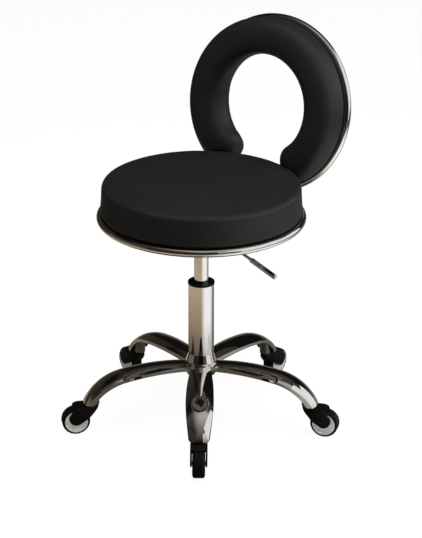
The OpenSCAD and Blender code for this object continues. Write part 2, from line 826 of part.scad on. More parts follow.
module pad_solid() {
    first = -90 + pad_end_a;
    sweep = 360 - 2 * pad_end_a;
    // Distances from the first tip along the middle line where the pad has its rings of points
    length = sweep * PI / 180 * pad_mid_r;
    ends = [for (i = [1:pad_end_steps]) pad_end_l * (1 - cos(90 * i / pad_end_steps))];
    mids = [for (i = [1:pad_steps - 1]) pad_end_l + (length - 2 * pad_end_l) * i / pad_steps];
    closes = [for (i = [pad_end_steps:-1:1]) length - ends[i - 1]];
    rings = concat(ends, mids, closes);
    n = len(rings);
    points = concat([for (d = rings) let (tip = min(d, length - d))
        each pad_ring(first + sweep * d / length, pad_share(tip), pad_near(tip))],
        [[pad_mid_r * cos(first), pad_centre_y, pad_mid_r * sin(first)],
         [pad_mid_r * cos(first + sweep), pad_centre_y, pad_mid_r * sin(first + sweep)]]);
    sides = [for (j = [0:n - 2], i = [0:pad_sides - 1]) let (k = (i + 1) % pad_sides)
        each [[j * pad_sides + i, (j + 1) * pad_sides + i, j * pad_sides + k],
              [j * pad_sides + k, (j + 1) * pad_sides + i, (j + 1) * pad_sides + k]]];
    first_cap = [for (i = [0:pad_sides - 1]) [n * pad_sides, i, (i + 1) % pad_sides]];
    last_cap = [for (i = [0:pad_sides - 1])
        [n * pad_sides + 1, (n - 1) * pad_sides + (i + 1) % pad_sides, (n - 1) * pad_sides + i]];
    in_back() polyhedron(points, concat(sides, first_cap, last_cap));
}

module backrest_cushion() {
    color("#161616") difference() {
        pad_solid();
        // Where the pad presses against the seat
        rotate_extrude($fn = 192) cushion_profile(air_gap);
    }
}

// Caster frame: seen from the side, X out and Y up, with the axle as the origin
module cheek_outline() {
    union() {
        translate([0, cheek_rise]) circle(cheek_r);
        polygon([[-caster_trail - nose_r, top_h], [-caster_trail - nose_r, top_h - eps], arm_back,
            [arm_low[0], cheek_rise + arm_low[1]], [0, cheek_rise], [arm_out[0], cheek_rise + arm_out[1]],
            arm_mid, [top_round[0], top_h - top_round[1]], [-top_round[1], top_h]]);
    }
}

module nose_outline() {
    polygon([[-caster_trail - nose_r, top_h], [-caster_trail - nose_r, nose_low],
        [-nose_in, nose_low - nose_fall], [cheek_r - well_r, nose_low - nose_fall], [cheek_r - well_r, top_h]]);
}

module yoke_plan() {
    union() {
        circle(nose_r);
        polygon([[0, -nose_r], [shoulder_x, -yoke_w / 2], [2 * caster_trail, -yoke_w / 2],
            [2 * caster_trail, yoke_w / 2], [shoulder_x, yoke_w / 2], [0, nose_r]]);
    }
}

module at_axle() {
    translate([caster_trail, 0, wheel_r]) rotate([90, 0, 0]) children();
}

module yoke(n) {
    color("#0c0c0c") at_caster(n) difference() {
        intersection() {
            at_axle() union() {
                linear_extrude(yoke_w, center = true) cheek_outline();
                linear_extrude(web_w, center = true) nose_outline();
            }
            linear_extrude(2 * yoke_top) yoke_plan();
        }
        at_axle() {
            cylinder(r = well_r, h = yoke_w - 2 * cheek_t, center = true);
            cylinder(d = axle_d, h = yoke_w - 2 * axle_end, center = true);
        }
        translate([0, 0, yoke_top - stem_depth]) cylinder(d = stem_d, h = stem_depth + eps);
    }
}

module stem(n) {
    color("silver") at_caster(n) {
        translate([0, 0, yoke_top - stem_depth]) cylinder(d = stem_d, h = stem_depth + flange_t + seat_gap + stem_l);
        translate([0, 0, yoke_top]) cylinder(d = flange_d, h = flange_t);
    }
}

module axle(n) {
    color("silver") at_caster(n) at_axle()
        cylinder(d = axle_d, h = yoke_w - 2 * axle_end, center = true);
}

module wheel(n) {
    boss_half = yoke_w / 2 - cheek_t - side_gap;
    color("lightgray") at_caster(n) at_axle() difference() {
        union() {
            cylinder(r = rim_r, h = 2 * disc_half, center = true);
            cylinder(r = wheel_boss_r, h = 2 * boss_half, center = true);
        }
        for (s = [-1, 1]) translate([0, 0, s * disc_half]) difference() {
            cylinder(r = dish_out, h = 2 * dish_depth, center = true);
            cylinder(r = dish_in, h = 2 * dish_depth + eps, center = true);
        }
        cylinder(r = axle_d / 2 + run_gap, h = yoke_w, center = true);
    }
}

module tyre(n) {
    half = tyre_w / 2;
    color("#151515") at_caster(n) at_axle() rotate_extrude() union() {
        translate([rim_r, -half + tyre_t]) square([tyre_t, tyre_w - 2 * tyre_t]);
        for (s = [-1, 1]) intersection() {
            translate([rim_r, s * (half - tyre_t)]) circle(tyre_t);
            translate([rim_r, -half]) square([tyre_t, tyre_w]);
        }
    }
}

base_hub();
leg(1);  // leg_1
leg(2);  // leg_2
leg(3);  // leg_3
leg(4);  // leg_4
leg(5);  // leg_5
caster_sockets();
column_tube();
column_guide();
thrust_bearing();
piston_rod();
piston();
bump_stop();
retaining_clip();
gas_cylinder();
cylinder_seal();
release_button();
seat_plate();
socket_bracket();
socket_bush();
lever_pin();
lever_rod();
lever_handle();
board_bolts();
tee_nuts();
seat_board();
seat_cushion();
seat_ring();
ring_lugs();
lug_screws();
back_bracket();
backrest_ring();
backrest_board();
backrest_cushion();
yoke(1);  // caster_1_yoke
yoke(2);  // caster_2_yoke
yoke(3);  // caster_3_yoke
yoke(4);  // caster_4_yoke
yoke(5);  // caster_5_yoke
stem(1);  // caster_1_stem
stem(2);  // caster_2_stem
stem(3);  // caster_3_stem
stem(4);  // caster_4_stem
stem(5);  // caster_5_stem
axle(1);  // caster_1_axle
axle(2);  // caster_2_axle
axle(3);  // caster_3_axle
axle(4);  // caster_4_axle
axle(5);  // caster_5_axle
wheel(1);  // caster_1_wheel
wheel(2);  // caster_2_wheel
wheel(3);  // caster_3_wheel
wheel(4);  // caster_4_wheel
wheel(5);  // caster_5_wheel
tyre(1);  // caster_1_tyre
tyre(2);  // caster_2_tyre
tyre(3);  // caster_3_tyre
tyre(4);  // caster_4_tyre
tyre(5);  // caster_5_tyre
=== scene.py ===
"""Looks of a swivel stool: round padded seat, ring backrest and chromed five-leg base on casters."""

import logging
import math
from dataclasses import dataclass, field
from enum import Enum

import bmesh
import bpy
from mathutils import Matrix, Vector, noise


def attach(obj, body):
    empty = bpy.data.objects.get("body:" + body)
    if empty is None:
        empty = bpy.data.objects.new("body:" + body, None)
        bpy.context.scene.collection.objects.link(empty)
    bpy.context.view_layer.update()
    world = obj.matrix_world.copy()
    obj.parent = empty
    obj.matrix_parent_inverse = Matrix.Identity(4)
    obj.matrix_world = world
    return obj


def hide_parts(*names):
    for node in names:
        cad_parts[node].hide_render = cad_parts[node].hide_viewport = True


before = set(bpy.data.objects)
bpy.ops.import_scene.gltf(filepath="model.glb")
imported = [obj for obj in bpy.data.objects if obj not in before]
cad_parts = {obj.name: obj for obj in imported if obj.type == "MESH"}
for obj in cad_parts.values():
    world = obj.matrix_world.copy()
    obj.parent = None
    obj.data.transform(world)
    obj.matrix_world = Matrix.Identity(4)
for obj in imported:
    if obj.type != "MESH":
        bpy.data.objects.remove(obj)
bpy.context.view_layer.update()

log = logging.getLogger("stool")
Material, Piece = bpy.types.Material, bpy.types.Object
Tree, Node, Socket = bpy.types.NodeTree, bpy.types.Node, bpy.types.NodeSocket
Colour = tuple[float, float, float, float]
Stops = tuple[tuple[float, str], ...]
MM = 0.001


class Ray(Enum):
    """Light Path outputs that the studio's white reaches."""

    CAMERA = "Is Camera Ray"
    GLOSSY = "Is Glossy Ray"
    TRANSMISSION = "Is Transmission Ray"


def linear(code: str) -> Colour:
    """Turns an sRGB hex colour into linear values.

    Args:
        code: Six hex digits, with or without a leading hash.

    Returns:
        Red, green, blue and an alpha of 1.
    """
    digits = code.lstrip("#")
    channels = [int(digits[i:i + 2], 16) / 255 for i in (0, 2, 4)]
    values = [c / 12.92 if c <= 0.04045 else ((c + 0.055) / 1.055) ** 2.4 for c in channels]
    return (values[0], values[1], values[2], 1.0)


def add_node(tree: Tree, kind: str, inputs: dict | None = None, links: dict | None = None,
             **settings: object) -> Node:
    """Adds one shader node with its settings, its constant inputs and its links.

    Args:
        tree: The node tree that gets the node.
        kind: Blender's type name of the node, less its leading ShaderNode.
        inputs: Constant values by socket name or number.
        links: Output sockets by the name or number of the input they feed.
        settings: Attributes of the node itself.

    Returns:
        The new node.
    """
    node = tree.nodes.new(f"ShaderNode{kind}")
    for key, value in settings.items():
        setattr(node, key, value)
    for socket, value in (inputs or {}).items():
        node.inputs[socket].default_value = value
    for socket, source in (links or {}).items():
        tree.links.new(source, node.inputs[socket])
    return node


def new_tree(name: str) -> tuple[Material, Tree, Node]:
    """Starts a material.

    Args:
        name: Name of the material.

    Returns:
        The material, its empty node tree and its output node.
    """
    material = bpy.data.materials.new(name)
    material.use_nodes = True
    tree = material.node_tree
    tree.nodes.clear()
    return material, tree, add_node(tree, "OutputMaterial")


def per_metre(size_mm: float) -> float:
    """Texture scale, in cells to the metre, of a pattern with cells of that size in millimetres."""
    return 1000 / size_mm


@dataclass(frozen=True)
class Finish:
    """A finish, named for its material and for how the surface was made."""

    name: str

    def surface(self, tree: Tree, place: Socket) -> Node:
        """Adds the nodes of the surface, which every kind of finish has its own way to."""
        raise NotImplementedError

    def build(self) -> Material:
        """Makes the material.

        Returns:
            The material.
        """
        material, tree, output = new_tree(self.name)
        shader = self.surface(tree, add_node(tree, "TexCoord").outputs["Object"])
        tree.links.new(shader.outputs["BSDF"], output.inputs["Surface"])
        return material


@dataclass(frozen=True)
class ChromePlate(Finish):
    """Bright nickel-chrome plate, buffed: sharp reflections with faint haze where it was handled."""

    name: str = "chrome_plated_steel_buffed"
    colour: str = "#dddcd9"
    clean: float = 0.035
    hazy: float = 0.1
    wave_mm: float = 45.0
    haze_mm: float = 60.0

    def surface(self, tree: Tree, place: Socket) -> Node:
        """Adds the nodes of the surface.

        Args:
            tree: The material's node tree.
            place: Where a point lies on the piece.

        Returns:
            The shader.
        """
        # The haze of handling, over patches about as wide as a hand's grip
        haze = add_node(tree, "TexNoise", {"Scale": per_metre(self.haze_mm), "Detail": 3.0},
                        {"Vector": place})
        rough = add_node(tree, "MapRange",
                         {"From Min": 0.45, "From Max": 0.75, "To Min": self.clean, "To Max": self.hazy},
                         {"Value": haze.outputs["Fac"]})
        # Tube and pressings are never quite true, so straight reflections waver
        waver = add_node(tree, "TexNoise", {"Scale": per_metre(self.wave_mm), "Detail": 1.0},
                         {"Vector": place})
        bump = add_node(tree, "Bump", {"Strength": 0.12, "Distance": 0.0004},
                        {"Height": waver.outputs["Fac"]})
        return add_node(tree, "BsdfPrincipled",
                        {"Base Color": linear(self.colour), "Metallic": 1.0},
                        {"Roughness": rough.outputs["Result"], "Normal": bump.outputs["Normal"]})


@dataclass(frozen=True)
class ZincPlate(Finish):
    """Barrel-plated zinc on turned and pressed steel: grey, softly bright, with a fine crystal mottle."""

    name: str = "zinc_plated_steel"
    light: str = "#b9bab6"
    dark: str = "#8c8d8a"
    mottle_mm: float = 2.5
    rough: float = 0.34

    def surface(self, tree: Tree, place: Socket) -> Node:
        """Adds the nodes of the surface.

        Args:
            tree: The material's node tree.
            place: Where a point lies on the piece.

        Returns:
            The shader.
        """
        mottle = add_node(tree, "TexNoise", {"Scale": per_metre(self.mottle_mm), "Detail": 4.0},
                          {"Vector": place})
        tone = add_node(tree, "Mix", {6: linear(self.dark), 7: linear(self.light)},
                        {"Factor": mottle.outputs["Fac"]}, data_type="RGBA")
        rough = add_node(tree, "MapRange", {"To Min": self.rough - 0.08, "To Max": self.rough + 0.12},
                         {"Value": mottle.outputs["Fac"]})
        bump = add_node(tree, "Bump", {"Strength": 0.15, "Distance": 0.00008},
                        {"Height": mottle.outputs["Fac"]})
        return add_node(tree, "BsdfPrincipled", {"Metallic": 1.0},
                        {"Base Color": tone.outputs[2], "Roughness": rough.outputs["Result"],
                         "Normal": bump.outputs["Normal"]})


@dataclass(frozen=True)
class PowderCoat(Finish):
    """Black polyester powder, baked on pressed steel: low gloss with a fine orange peel."""

    name: str = "black_powder_coated_steel"
    colour: str = "#1a1a1a"
    peel_mm: float = 1.6
    rough: float = 0.42

    def surface(self, tree: Tree, place: Socket) -> Node:
        """Adds the nodes of the surface.

        Args:
            tree: The material's node tree.
            place: Where a point lies on the piece.

        Returns:
            The shader.
        """
        peel = add_node(tree, "TexNoise", {"Scale": per_metre(self.peel_mm), "Detail": 2.0},
                        {"Vector": place})
        rough = add_node(tree, "MapRange", {"To Min": self.rough - 0.06, "To Max": self.rough + 0.08},
                         {"Value": peel.outputs["Fac"]})
        bump = add_node(tree, "Bump", {"Strength": 0.4, "Distance": 0.0001},
                        {"Height": peel.outputs["Fac"]})
        return add_node(tree, "BsdfPrincipled", {"Base Color": linear(self.colour), "IOR": 1.5},
                        {"Roughness": rough.outputs["Result"], "Normal": bump.outputs["Normal"]})


@dataclass(frozen=True)
class BirchPlywood(Finish):
    """Sanded birch plywood: pale rotary veneer on its faces and dark glue lines round its edge."""

    name: str = "birch_plywood_sanded"
    light: str = "#d2b48a"
    dark: str = "#b08a5c"
    glue: str = "#6e4f33"
    ply_mm: float = 1.5
    grain_mm: float = 14.0

    def surface(self, tree: Tree, place: Socket) -> Node:
        """Adds the nodes of the surface.

        Args:
            tree: The material's node tree.
            place: Where a point lies on the piece.

        Returns:
            The shader.
        """
        # Rotary veneer shows wide, drawn-out figure along the board
        along = add_node(tree, "Mapping", {"Scale": (1.0, 0.16, 1.0)}, {"Vector": place})
        grain = add_node(tree, "TexNoise",
                         {"Scale": per_metre(self.grain_mm), "Detail": 5.0, "Distortion": 0.6},
                         {"Vector": along.outputs["Vector"]})
        face = add_node(tree, "Mix", {6: linear(self.light), 7: linear(self.dark)},
                        {"Factor": grain.outputs["Fac"]}, data_type="RGBA")
        # Plies show as thin dark lines one veneer apart, on the edge alone
        height = add_node(tree, "SeparateXYZ", links={"Vector": place})
        plies = add_node(tree, "Math", {1: per_metre(self.ply_mm)}, {0: height.outputs["Z"]},
                         operation="MULTIPLY")
        part = add_node(tree, "Math", links={0: plies.outputs["Value"]}, operation="FRACT")
        line = add_node(tree, "Math", {1: 0.16}, {0: part.outputs["Value"]}, operation="LESS_THAN")
        facing = add_node(tree, "SeparateXYZ",
                          links={"Vector": add_node(tree, "TexCoord").outputs["Normal"]})
        flat = add_node(tree, "Math", links={0: facing.outputs["Z"]}, operation="ABSOLUTE")
        edge = add_node(tree, "Math", {1: 0.5}, {0: flat.outputs["Value"]}, operation="LESS_THAN")
        glued = add_node(tree, "Math", links={0: line.outputs["Value"], 1: edge.outputs["Value"]},
                         operation="MULTIPLY")
        tone = add_node(tree, "Mix", {7: linear(self.glue)},
                        {"Factor": glued.outputs["Value"], 6: face.outputs[2]}, data_type="RGBA")
        bump = add_node(tree, "Bump", {"Strength": 0.25, "Distance": 0.0002},
                        {"Height": grain.outputs["Fac"]})
        return add_node(tree, "BsdfPrincipled", {"Roughness": 0.62, "IOR": 1.5},
                        {"Base Color": tone.outputs[2], "Normal": bump.outputs["Normal"]})


@dataclass(frozen=True)
class CoatedFabric(Finish):
    """Polyurethane-coated knit, embossed: smooth black upholstery with a soft, wide sheen."""

    name: str = "polyurethane_leather_embossed"
    colour: str = "#151515"
    worn: str = "#1a1a1a"
    # The embossed pebble is about a millimetre across
    pebble_mm: float = 1.1
    stretch_mm: float = 70.0
    rough: float = 0.46

    def surface(self, tree: Tree, place: Socket) -> Node:
        """Adds the nodes of the surface.

        Args:
            tree: The material's node tree.
            place: Where a point lies on the piece.

        Returns:
            The shader.
        """
        stretch = add_node(tree, "TexNoise", {"Scale": per_metre(self.stretch_mm), "Detail": 3.0},
                           {"Vector": place})
        tone = add_node(tree, "Mix", {6: linear(self.colour), 7: linear(self.worn)},
                        {"Factor": stretch.outputs["Fac"]}, data_type="RGBA")
        pebble = add_node(tree, "TexVoronoi", {"Scale": per_metre(self.pebble_mm), "Randomness": 0.9},
                          {"Vector": place}, feature="SMOOTH_F1")
        fine = add_node(tree, "TexNoise", {"Scale": per_metre(self.pebble_mm * 0.4), "Detail": 2.0},
                        {"Vector": place})
        relief = add_node(tree, "Math", {2: 0.0}, {0: pebble.outputs["Distance"],
                          1: fine.outputs["Fac"]}, operation="MULTIPLY")
        bump = add_node(tree, "Bump", {"Strength": 0.22, "Distance": 0.00012},
                        {"Height": relief.outputs["Value"]})
        rough = add_node(tree, "MapRange", {"To Min": self.rough - 0.05, "To Max": self.rough + 0.06},
                         {"Value": stretch.outputs["Fac"]})
        return add_node(tree, "BsdfPrincipled",
                        {"IOR": 1.46, "Specular IOR Level": 0.36},
                        {"Base Color": tone.outputs[2], "Roughness": rough.outputs["Result"],
                         "Normal": bump.outputs["Normal"]})


@dataclass(frozen=True)
class SpunbondCloth(Finish):
    """Taupe spunbond polypropylene, stapled on as a dust cloth: dull, with its rows of weld points; its tones
    are partly the cloth's own and partly painted light, lightened for the light the floor throws up under the
    seat.
    """

    name: str = "spunbond_polypropylene_cloth"
    # Both tones are partly painted light, lightened for the light that the floor throws up under the seat
    colour: str = "#6c655d"
    point: str = "#7f776e"
    # Weld points are a millimetre apart, and drawn wider to stay visible
    weld_mm: float = 2.0

    def surface(self, tree: Tree, place: Socket) -> Node:
        """Adds the nodes of the surface.

        Args:
            tree: The material's node tree.
            place: Where a point lies on the piece.

        Returns:
            The shader.
        """
        weld = add_node(tree, "TexVoronoi", {"Scale": per_metre(self.weld_mm), "Randomness": 0.1},
                        {"Vector": place})
        tone = add_node(tree, "Mix", {6: linear(self.point), 7: linear(self.colour)},
                        {"Factor": weld.outputs["Distance"]}, data_type="RGBA")
        bump = add_node(tree, "Bump", {"Strength": 0.3, "Distance": 0.0002},
                        {"Height": weld.outputs["Distance"]})
        return add_node(tree, "BsdfPrincipled",
                        {"Roughness": 0.85, "IOR": 1.49, "Sheen Weight": 0.1},
                        {"Base Color": tone.outputs[2], "Normal": bump.outputs["Normal"]})


@dataclass(frozen=True)
class MouldedPlastic(Finish):
    """An injection-moulded plastic or rubber with the spark-eroded grain of its mould."""

    colour: str
    rough: float
    ior: float
    grain_mm: float = 0.9
    relief: float = 0.2
    gloss: float = 0.5
    flow_mm: float = 30.0

    def surface(self, tree: Tree, place: Socket) -> Node:
        """Adds the nodes of the surface.

        Args:
            tree: The material's node tree.
            place: Where a point lies on the piece.

        Returns:
            The shader.
        """
        grain = add_node(tree, "TexNoise", {"Scale": per_metre(self.grain_mm), "Detail": 2.0},
                         {"Vector": place})
        flow = add_node(tree, "TexNoise", {"Scale": per_metre(self.flow_mm), "Detail": 2.0},
                        {"Vector": place})
        deep = linear(self.colour)
        pale = tuple(min(1.0, c * 1.25 + 0.001) for c in deep[:3]) + (1.0,)
        tone = add_node(tree, "Mix", {6: deep, 7: pale}, {"Factor": flow.outputs["Fac"]},
                        data_type="RGBA")
        rough = add_node(tree, "MapRange", {"To Min": self.rough - 0.05, "To Max": self.rough + 0.07},
                         {"Value": grain.outputs["Fac"]})
        bump = add_node(tree, "Bump", {"Strength": self.relief, "Distance": 0.00008},
                        {"Height": grain.outputs["Fac"]})
        return add_node(tree, "BsdfPrincipled", {"IOR": self.ior, "Specular IOR Level": self.gloss},
                        {"Base Color": tone.outputs[2], "Roughness": rough.outputs["Result"],
                         "Normal": bump.outputs["Normal"]})


def make_piece(name: str, points: list[Vector], faces: list[tuple[int, ...]],
               finish: Material, smooth: bool = True) -> Piece:
    """Makes a mesh object whose place is in its mesh.

    Args:
        name: Name of the piece.
        points: Its points in the row frame, in metres.
        faces: Its faces, as numbers of points.
        finish: Its material.
        smooth: Whether its faces are shaded smooth.

    Returns:
        The new object, linked to the scene.
    """
    mesh = bpy.data.meshes.new(name)
    mesh.from_pydata([tuple(p) for p in points], [], faces)
    graph = bmesh.new()
    graph.from_mesh(mesh)
    bmesh.ops.recalc_face_normals(graph, faces=graph.faces)
    graph.to_mesh(mesh)
    graph.free()
    mesh.polygons.foreach_set("use_smooth", [smooth] * len(mesh.polygons))
    mesh.materials.append(finish)
    piece = bpy.data.objects.new(name, mesh)
    bpy.context.scene.collection.objects.link(piece)
    return piece


def apply_modifiers(piece: Piece) -> None:
    """Bakes a piece's modifiers into its mesh.

    Args:
        piece: The piece.
    """
    graph = bpy.context.evaluated_depsgraph_get()
    graph.update()
    baked = bpy.data.meshes.new_from_object(piece.evaluated_get(graph))
    old = piece.data
    piece.modifiers.clear()
    piece.data = baked
    bpy.data.meshes.remove(old)


@dataclass
class Filling:
    """Foam that presses a sewn cover outwards, held back at its seams and where it is stapled."""

    pressure: float = 4.0
    frames: int = 20
    swell: float = 3 * MM
    tension: float = 60.0

    def press(self, piece: Piece, held: list[int]) -> None:
        """Swells a cover between its held points with a cloth simulation.

        Args:
            piece: The closed cover.
            held: Numbers of the points that the seams and staples hold.
        """
        scene = bpy.context.scene
        start = [v.co.copy() for v in piece.data.vertices]
        group = piece.vertex_groups.new(name="held")
        group.add(held, 1.0, "REPLACE")
        cloth = piece.modifiers.new("filling", "CLOTH")
        values = {"vertex_group_mass": "held", "pin_stiffness": 1.0, "bending_stiffness": 2.0,
                  "tension_stiffness": self.tension, "compression_stiffness": self.tension,
                  "shear_stiffness": self.tension / 3, "air_damping": 3.0,
                  "use_pressure": True, "uniform_pressure_force": self.pressure}
        for key, value in values.items():
            setattr(cloth.settings, key, value)
        cloth.settings.effector_weights.gravity = 0.0
        cloth.point_cache.frame_start = 1
        cloth.point_cache.frame_end = self.frames
        for step in range(1, self.frames + 1):
            scene.frame_set(step)
        graph = bpy.context.evaluated_depsgraph_get()
        swollen = [v.co.copy() for v in piece.evaluated_get(graph).data.vertices]
        piece.modifiers.clear()
        piece.vertex_groups.clear()
        scene.frame_set(1)
        moves = [b - a for a, b in zip(start, swollen)]
        most = max(m.length for m in moves)
        share = min(1.0, self.swell / most) if most > 0 else 0.0
        for vertex, a, move in zip(piece.data.vertices, start, moves):
            vertex.co = a + move * share
        piece.data.update()
        log.info("%s swells by %.1f mm", piece.name, 1000 * most * share)


def subdivide(piece: Piece, levels: int) -> None:
    """Smooths a piece by subdivision.

    Args:
        piece: The piece.
        levels: How many times each face is divided.
    """
    smoother = piece.modifiers.new("smooth", "SUBSURF")
    smoother.levels = levels
    smoother.render_levels = levels
    apply_modifiers(piece)


def gathered(angle: float, count: int) -> float:
    """Share of a seam's depth at an angle along it, in radians, as its stitches gather the cover."""
    return 0.85 + 0.15 * math.sin(angle * count)


@dataclass
class SeatCushion:
    """The round seat: a crowned top panel sewn to a side band, drawn over foam and a board."""

    radius: float = 193.5 * MM
    draw: float = 2.5 * MM
    foot_z: float = 434 * MM
    height: float = 60 * MM
    crown: float = 10 * MM
    edge_r: float = 13 * MM
    foot_r: float = 7.5 * MM
    # The seat board that the cover is drawn round, and where its hem ends below it
    board_r: float = 182 * MM
    board_z: float = 419 * MM
    hem_r: float = 164 * MM
    cover_t: float = 0.7 * MM
    cells: int = 52
    # How far the cover starts inside its filled shape
    slack: float = 1.0 * MM
    seam_angle: float = 62.0
    seam_depth: float = 0.8 * MM
    seam_width: float = 1.8 * MM
    # Gathers of the stitches round the whole seam
    gathers: int = 110
    # Rings of points, from the hem on, that the board and the staples hold
    held_rings: int = 10
    # Puckers at the foot and how high they reach, and the pleats of the hem under the board
    pucker: float = 0.35 * MM
    pucker_h: float = 12 * MM
    pleat: float = 0.9 * MM
    # Where the side band is joined, in degrees, and how deep and wide that seam is
    joins: tuple[float, ...] = (112.0,)
    join_depth: float = 0.9 * MM
    join_width: float = 1.6 * MM
    filling: Filling = field(default_factory=lambda: Filling(swell=2.4 * MM))

    @property
    def edge_x(self) -> float:
        """Radius of the edge rounding's centre."""
        return self.radius - self.draw - self.edge_r

    @property
    def edge_z(self) -> float:
        """Height of the edge rounding's centre."""
        return self.foot_z + self.height - self.edge_r

    @property
    def crown_r(self) -> float:
        """Radius of the sphere that the crown is part of."""
        drop = self.foot_z + self.height + self.crown - self.edge_z
        return (self.edge_x ** 2 + drop ** 2 - self.edge_r ** 2) / (2 * (drop - self.edge_r))

    def crown_z(self, r: float) -> float:
        """Height of the crown at a distance from the axis."""
        top = self.foot_z + self.height + self.crown
        return top - self.crown_r + math.sqrt(self.crown_r ** 2 - r ** 2)

    def profile(self) -> list[tuple[float, float]]:
        """Section of the cover, from the hem under the board up to the rim of the crown.

        Returns:
            Distances from the axis, with their heights.
        """
        x, z = self.radius - self.foot_r, self.foot_z + self.foot_r
        under, edge = self.board_z - self.cover_t, self.board_r + self.cover_t
        points = [(self.hem_r, under), (self.hem_r + 1 * MM, under - 0.5 * MM),
                  (self.hem_r + 8 * MM, under - 0.3 * MM), (edge - 2.5 * MM, under),
                  (edge - 0.4 * MM, under + 0.6 * MM), (edge, under + 3 * MM),
                  (edge, self.foot_z - 3 * MM), (edge + 0.4 * MM, self.foot_z - 0.8 * MM)]
        points += [(x + self.foot_r * math.sin(math.radians(a)), z - self.foot_r * math.cos(math.radians(a)))
                   for a in (10, 32, 54, 76)]
        rise = self.edge_z - z
        for i in range(8):
            t = (i + 0.2) / 7.4
            points.append((self.radius - self.draw * t, z + rise * t))
        rim = math.degrees(math.acos(min(1.0, self.edge_x / (self.crown_r - self.edge_r))))
        stops = (14, 30, 46, 58, self.seam_angle, 66, 74, rim)
        points += [(self.edge_x + self.edge_r * math.cos(math.radians(a)),
                    self.edge_z + self.edge_r * math.sin(math.radians(a))) for a in stops if a <= rim]
        return points

    def disc(self) -> list[list[Vector]]:
        """Even square cells laid out over a disc of radius 1.

        Returns:
            Rows of points, flat at height 0.
        """
        rows = []
        for j in range(self.cells + 1):
            v = 2 * j / self.cells - 1
            row = []
            for i in range(self.cells + 1):
                u = 2 * i / self.cells - 1
                row.append(Vector((u * math.sqrt(1 - v * v / 2), v * math.sqrt(1 - u * u / 2), 0)))
            rows.append(row)
        return rows

    def cover(self, leather: Material, cloth: Material) -> tuple[Piece, set[int]]:
        """Makes the closed cover as it is before the filling presses it out.

        Args:
            leather: The cover's material.
            cloth: The material of the dust cloth under the board.

        Returns:
            The cover, and the numbers of the points that its seam, the board and the staples hold.
        """
        side = self.profile()
        n = self.cells
        loop = [(0, i) for i in range(n)] + [(j, n) for j in range(n)]
        loop += [(n, i) for i in range(n, 0, -1)] + [(j, 0) for j in range(n, 0, -1)]
        points: list[Vector] = []
        faces: list[tuple[int, ...]] = []
        flat = self.disc()
        bearings = [math.atan2(flat[j][i].y, flat[j][i].x) for j, i in loop]
        lids = []
        for r, top in ((side[0][0], False), (side[-1][0], True)):
            first = len(points)
            lids.append(first)
            for row in flat:
                for p in row:
                    rho = min(1.0, math.hypot(p.x, p.y))
                    z = self.crown_z(rho * r) if top else side[0][1]
                    points.append(Vector((p.x * r, p.y * r, z)))
            for j in range(n):
                for i in range(n):
                    a = first + j * (n + 1) + i
                    quad = (a, a + 1, a + n + 2, a + n + 1)
                    faces.append(quad if top else quad[::-1])
        rings = [[lids[0] + j * (n + 1) + i for j, i in loop]]
        for r, z in side[1:-1]:
            rings.append(list(range(len(points), len(points) + len(loop))))
            points += [Vector((r * math.cos(b), r * math.sin(b), z)) for b in bearings]
        rings.append([lids[1] + j * (n + 1) + i for j, i in loop])
        for low, high in zip(rings, rings[1:]):
            for k in range(len(loop)):
                m = (k + 1) % len(loop)
                faces.append((low[k], low[m], high[m], high[k]))
        piece = make_piece("seat_cushion_cover", points, faces, leather)
        angles = [math.degrees(math.atan2(z - self.edge_z, r - self.edge_x)) for r, z in side]
        seam_ring = next(k for k, angle in enumerate(angles) if abs(angle - self.seam_angle) < 0.5)
        piece.data.materials.append(cloth)
        for face in piece.data.polygons[:n * n]:
            face.material_index = 1
        held = set(range(lids[0], lids[1])).union(rings[seam_ring], *rings[:self.held_rings])
        return piece, held

    def build(self, leather: Material, cloth: Material) -> None:
        """Makes the filled and sewn seat.

        Args:
            leather: The cover's material.
            cloth: The material of the dust cloth under the board.
        """
        piece, held = self.cover(leather, cloth)
        self.slacken(piece, held)
        self.filling.press(piece, sorted(held))
        subdivide(piece, 2)
        self.sew(piece)
        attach(piece, "seat")
        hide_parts("seat_cushion")
        log.info("seat cushion built, %d faces", len(piece.data.polygons))

    def slacken(self, piece: Piece, held: set[int]) -> None:
        """Moves the free points of the cover inwards, to where the filling then presses them out again.

        Args:
            piece: The cover.
            held: Numbers of the points that stay.
        """
        middle = self.foot_z + self.height / 2
        for vertex in piece.data.vertices:
            r = math.hypot(vertex.co.x, vertex.co.y)
            if vertex.index in held:
                continue
            if r < self.edge_x + 2 * MM and vertex.co.z > middle:
                share = 1 - (r / (self.edge_x + 4 * MM)) ** 4
                vertex.co.z -= self.slack * share
            else:
                t = (vertex.co.z - self.foot_z) / self.height
                share = max(0.0, 4 * t * (1 - t))
                scale = 1 - self.slack * share / r
                vertex.co.x *= scale
                vertex.co.y *= scale

    def sew(self, piece: Piece) -> None:
        """Draws in the seam between top and side, the joins of the band and the puckers at the foot.

        Args:
            piece: The cover.
        """
        a = math.radians(self.seam_angle)
        seam = Vector((self.edge_x + self.edge_r * math.cos(a), self.edge_z + self.edge_r * math.sin(a)))
        for vertex in piece.data.vertices:
            p = vertex.co
            r = math.hypot(p.x, p.y)
            if r < 0.1:
                continue
            bearing = math.degrees(math.atan2(p.y, p.x))
            out = Vector((p.x / r, p.y / r, 0))
            # Groove of the seam round the top, with the slight gather of its stitches
            gap = math.hypot(r - seam.x, p.z - seam.y)
            depth = self.seam_depth * gathered(math.radians(bearing), self.gathers)
            depth *= math.exp(-(gap / self.seam_width) ** 2)
            beside = (gap / self.seam_width - 3.2) / 1.4
            bead = 0.15 * self.seam_depth * math.exp(-beside ** 2)
            along = (out * math.cos(a) + Vector((0, 0, math.sin(a)))).normalized()
            p += along * (bead - depth)
            # Upright joins of the side band
            if self.foot_z < p.z < seam.y:
                for join in self.joins:
                    off = math.radians((bearing - join + 180) % 360 - 180) * r
                    p -= out * self.join_depth * math.exp(-(off / self.join_width) ** 2)
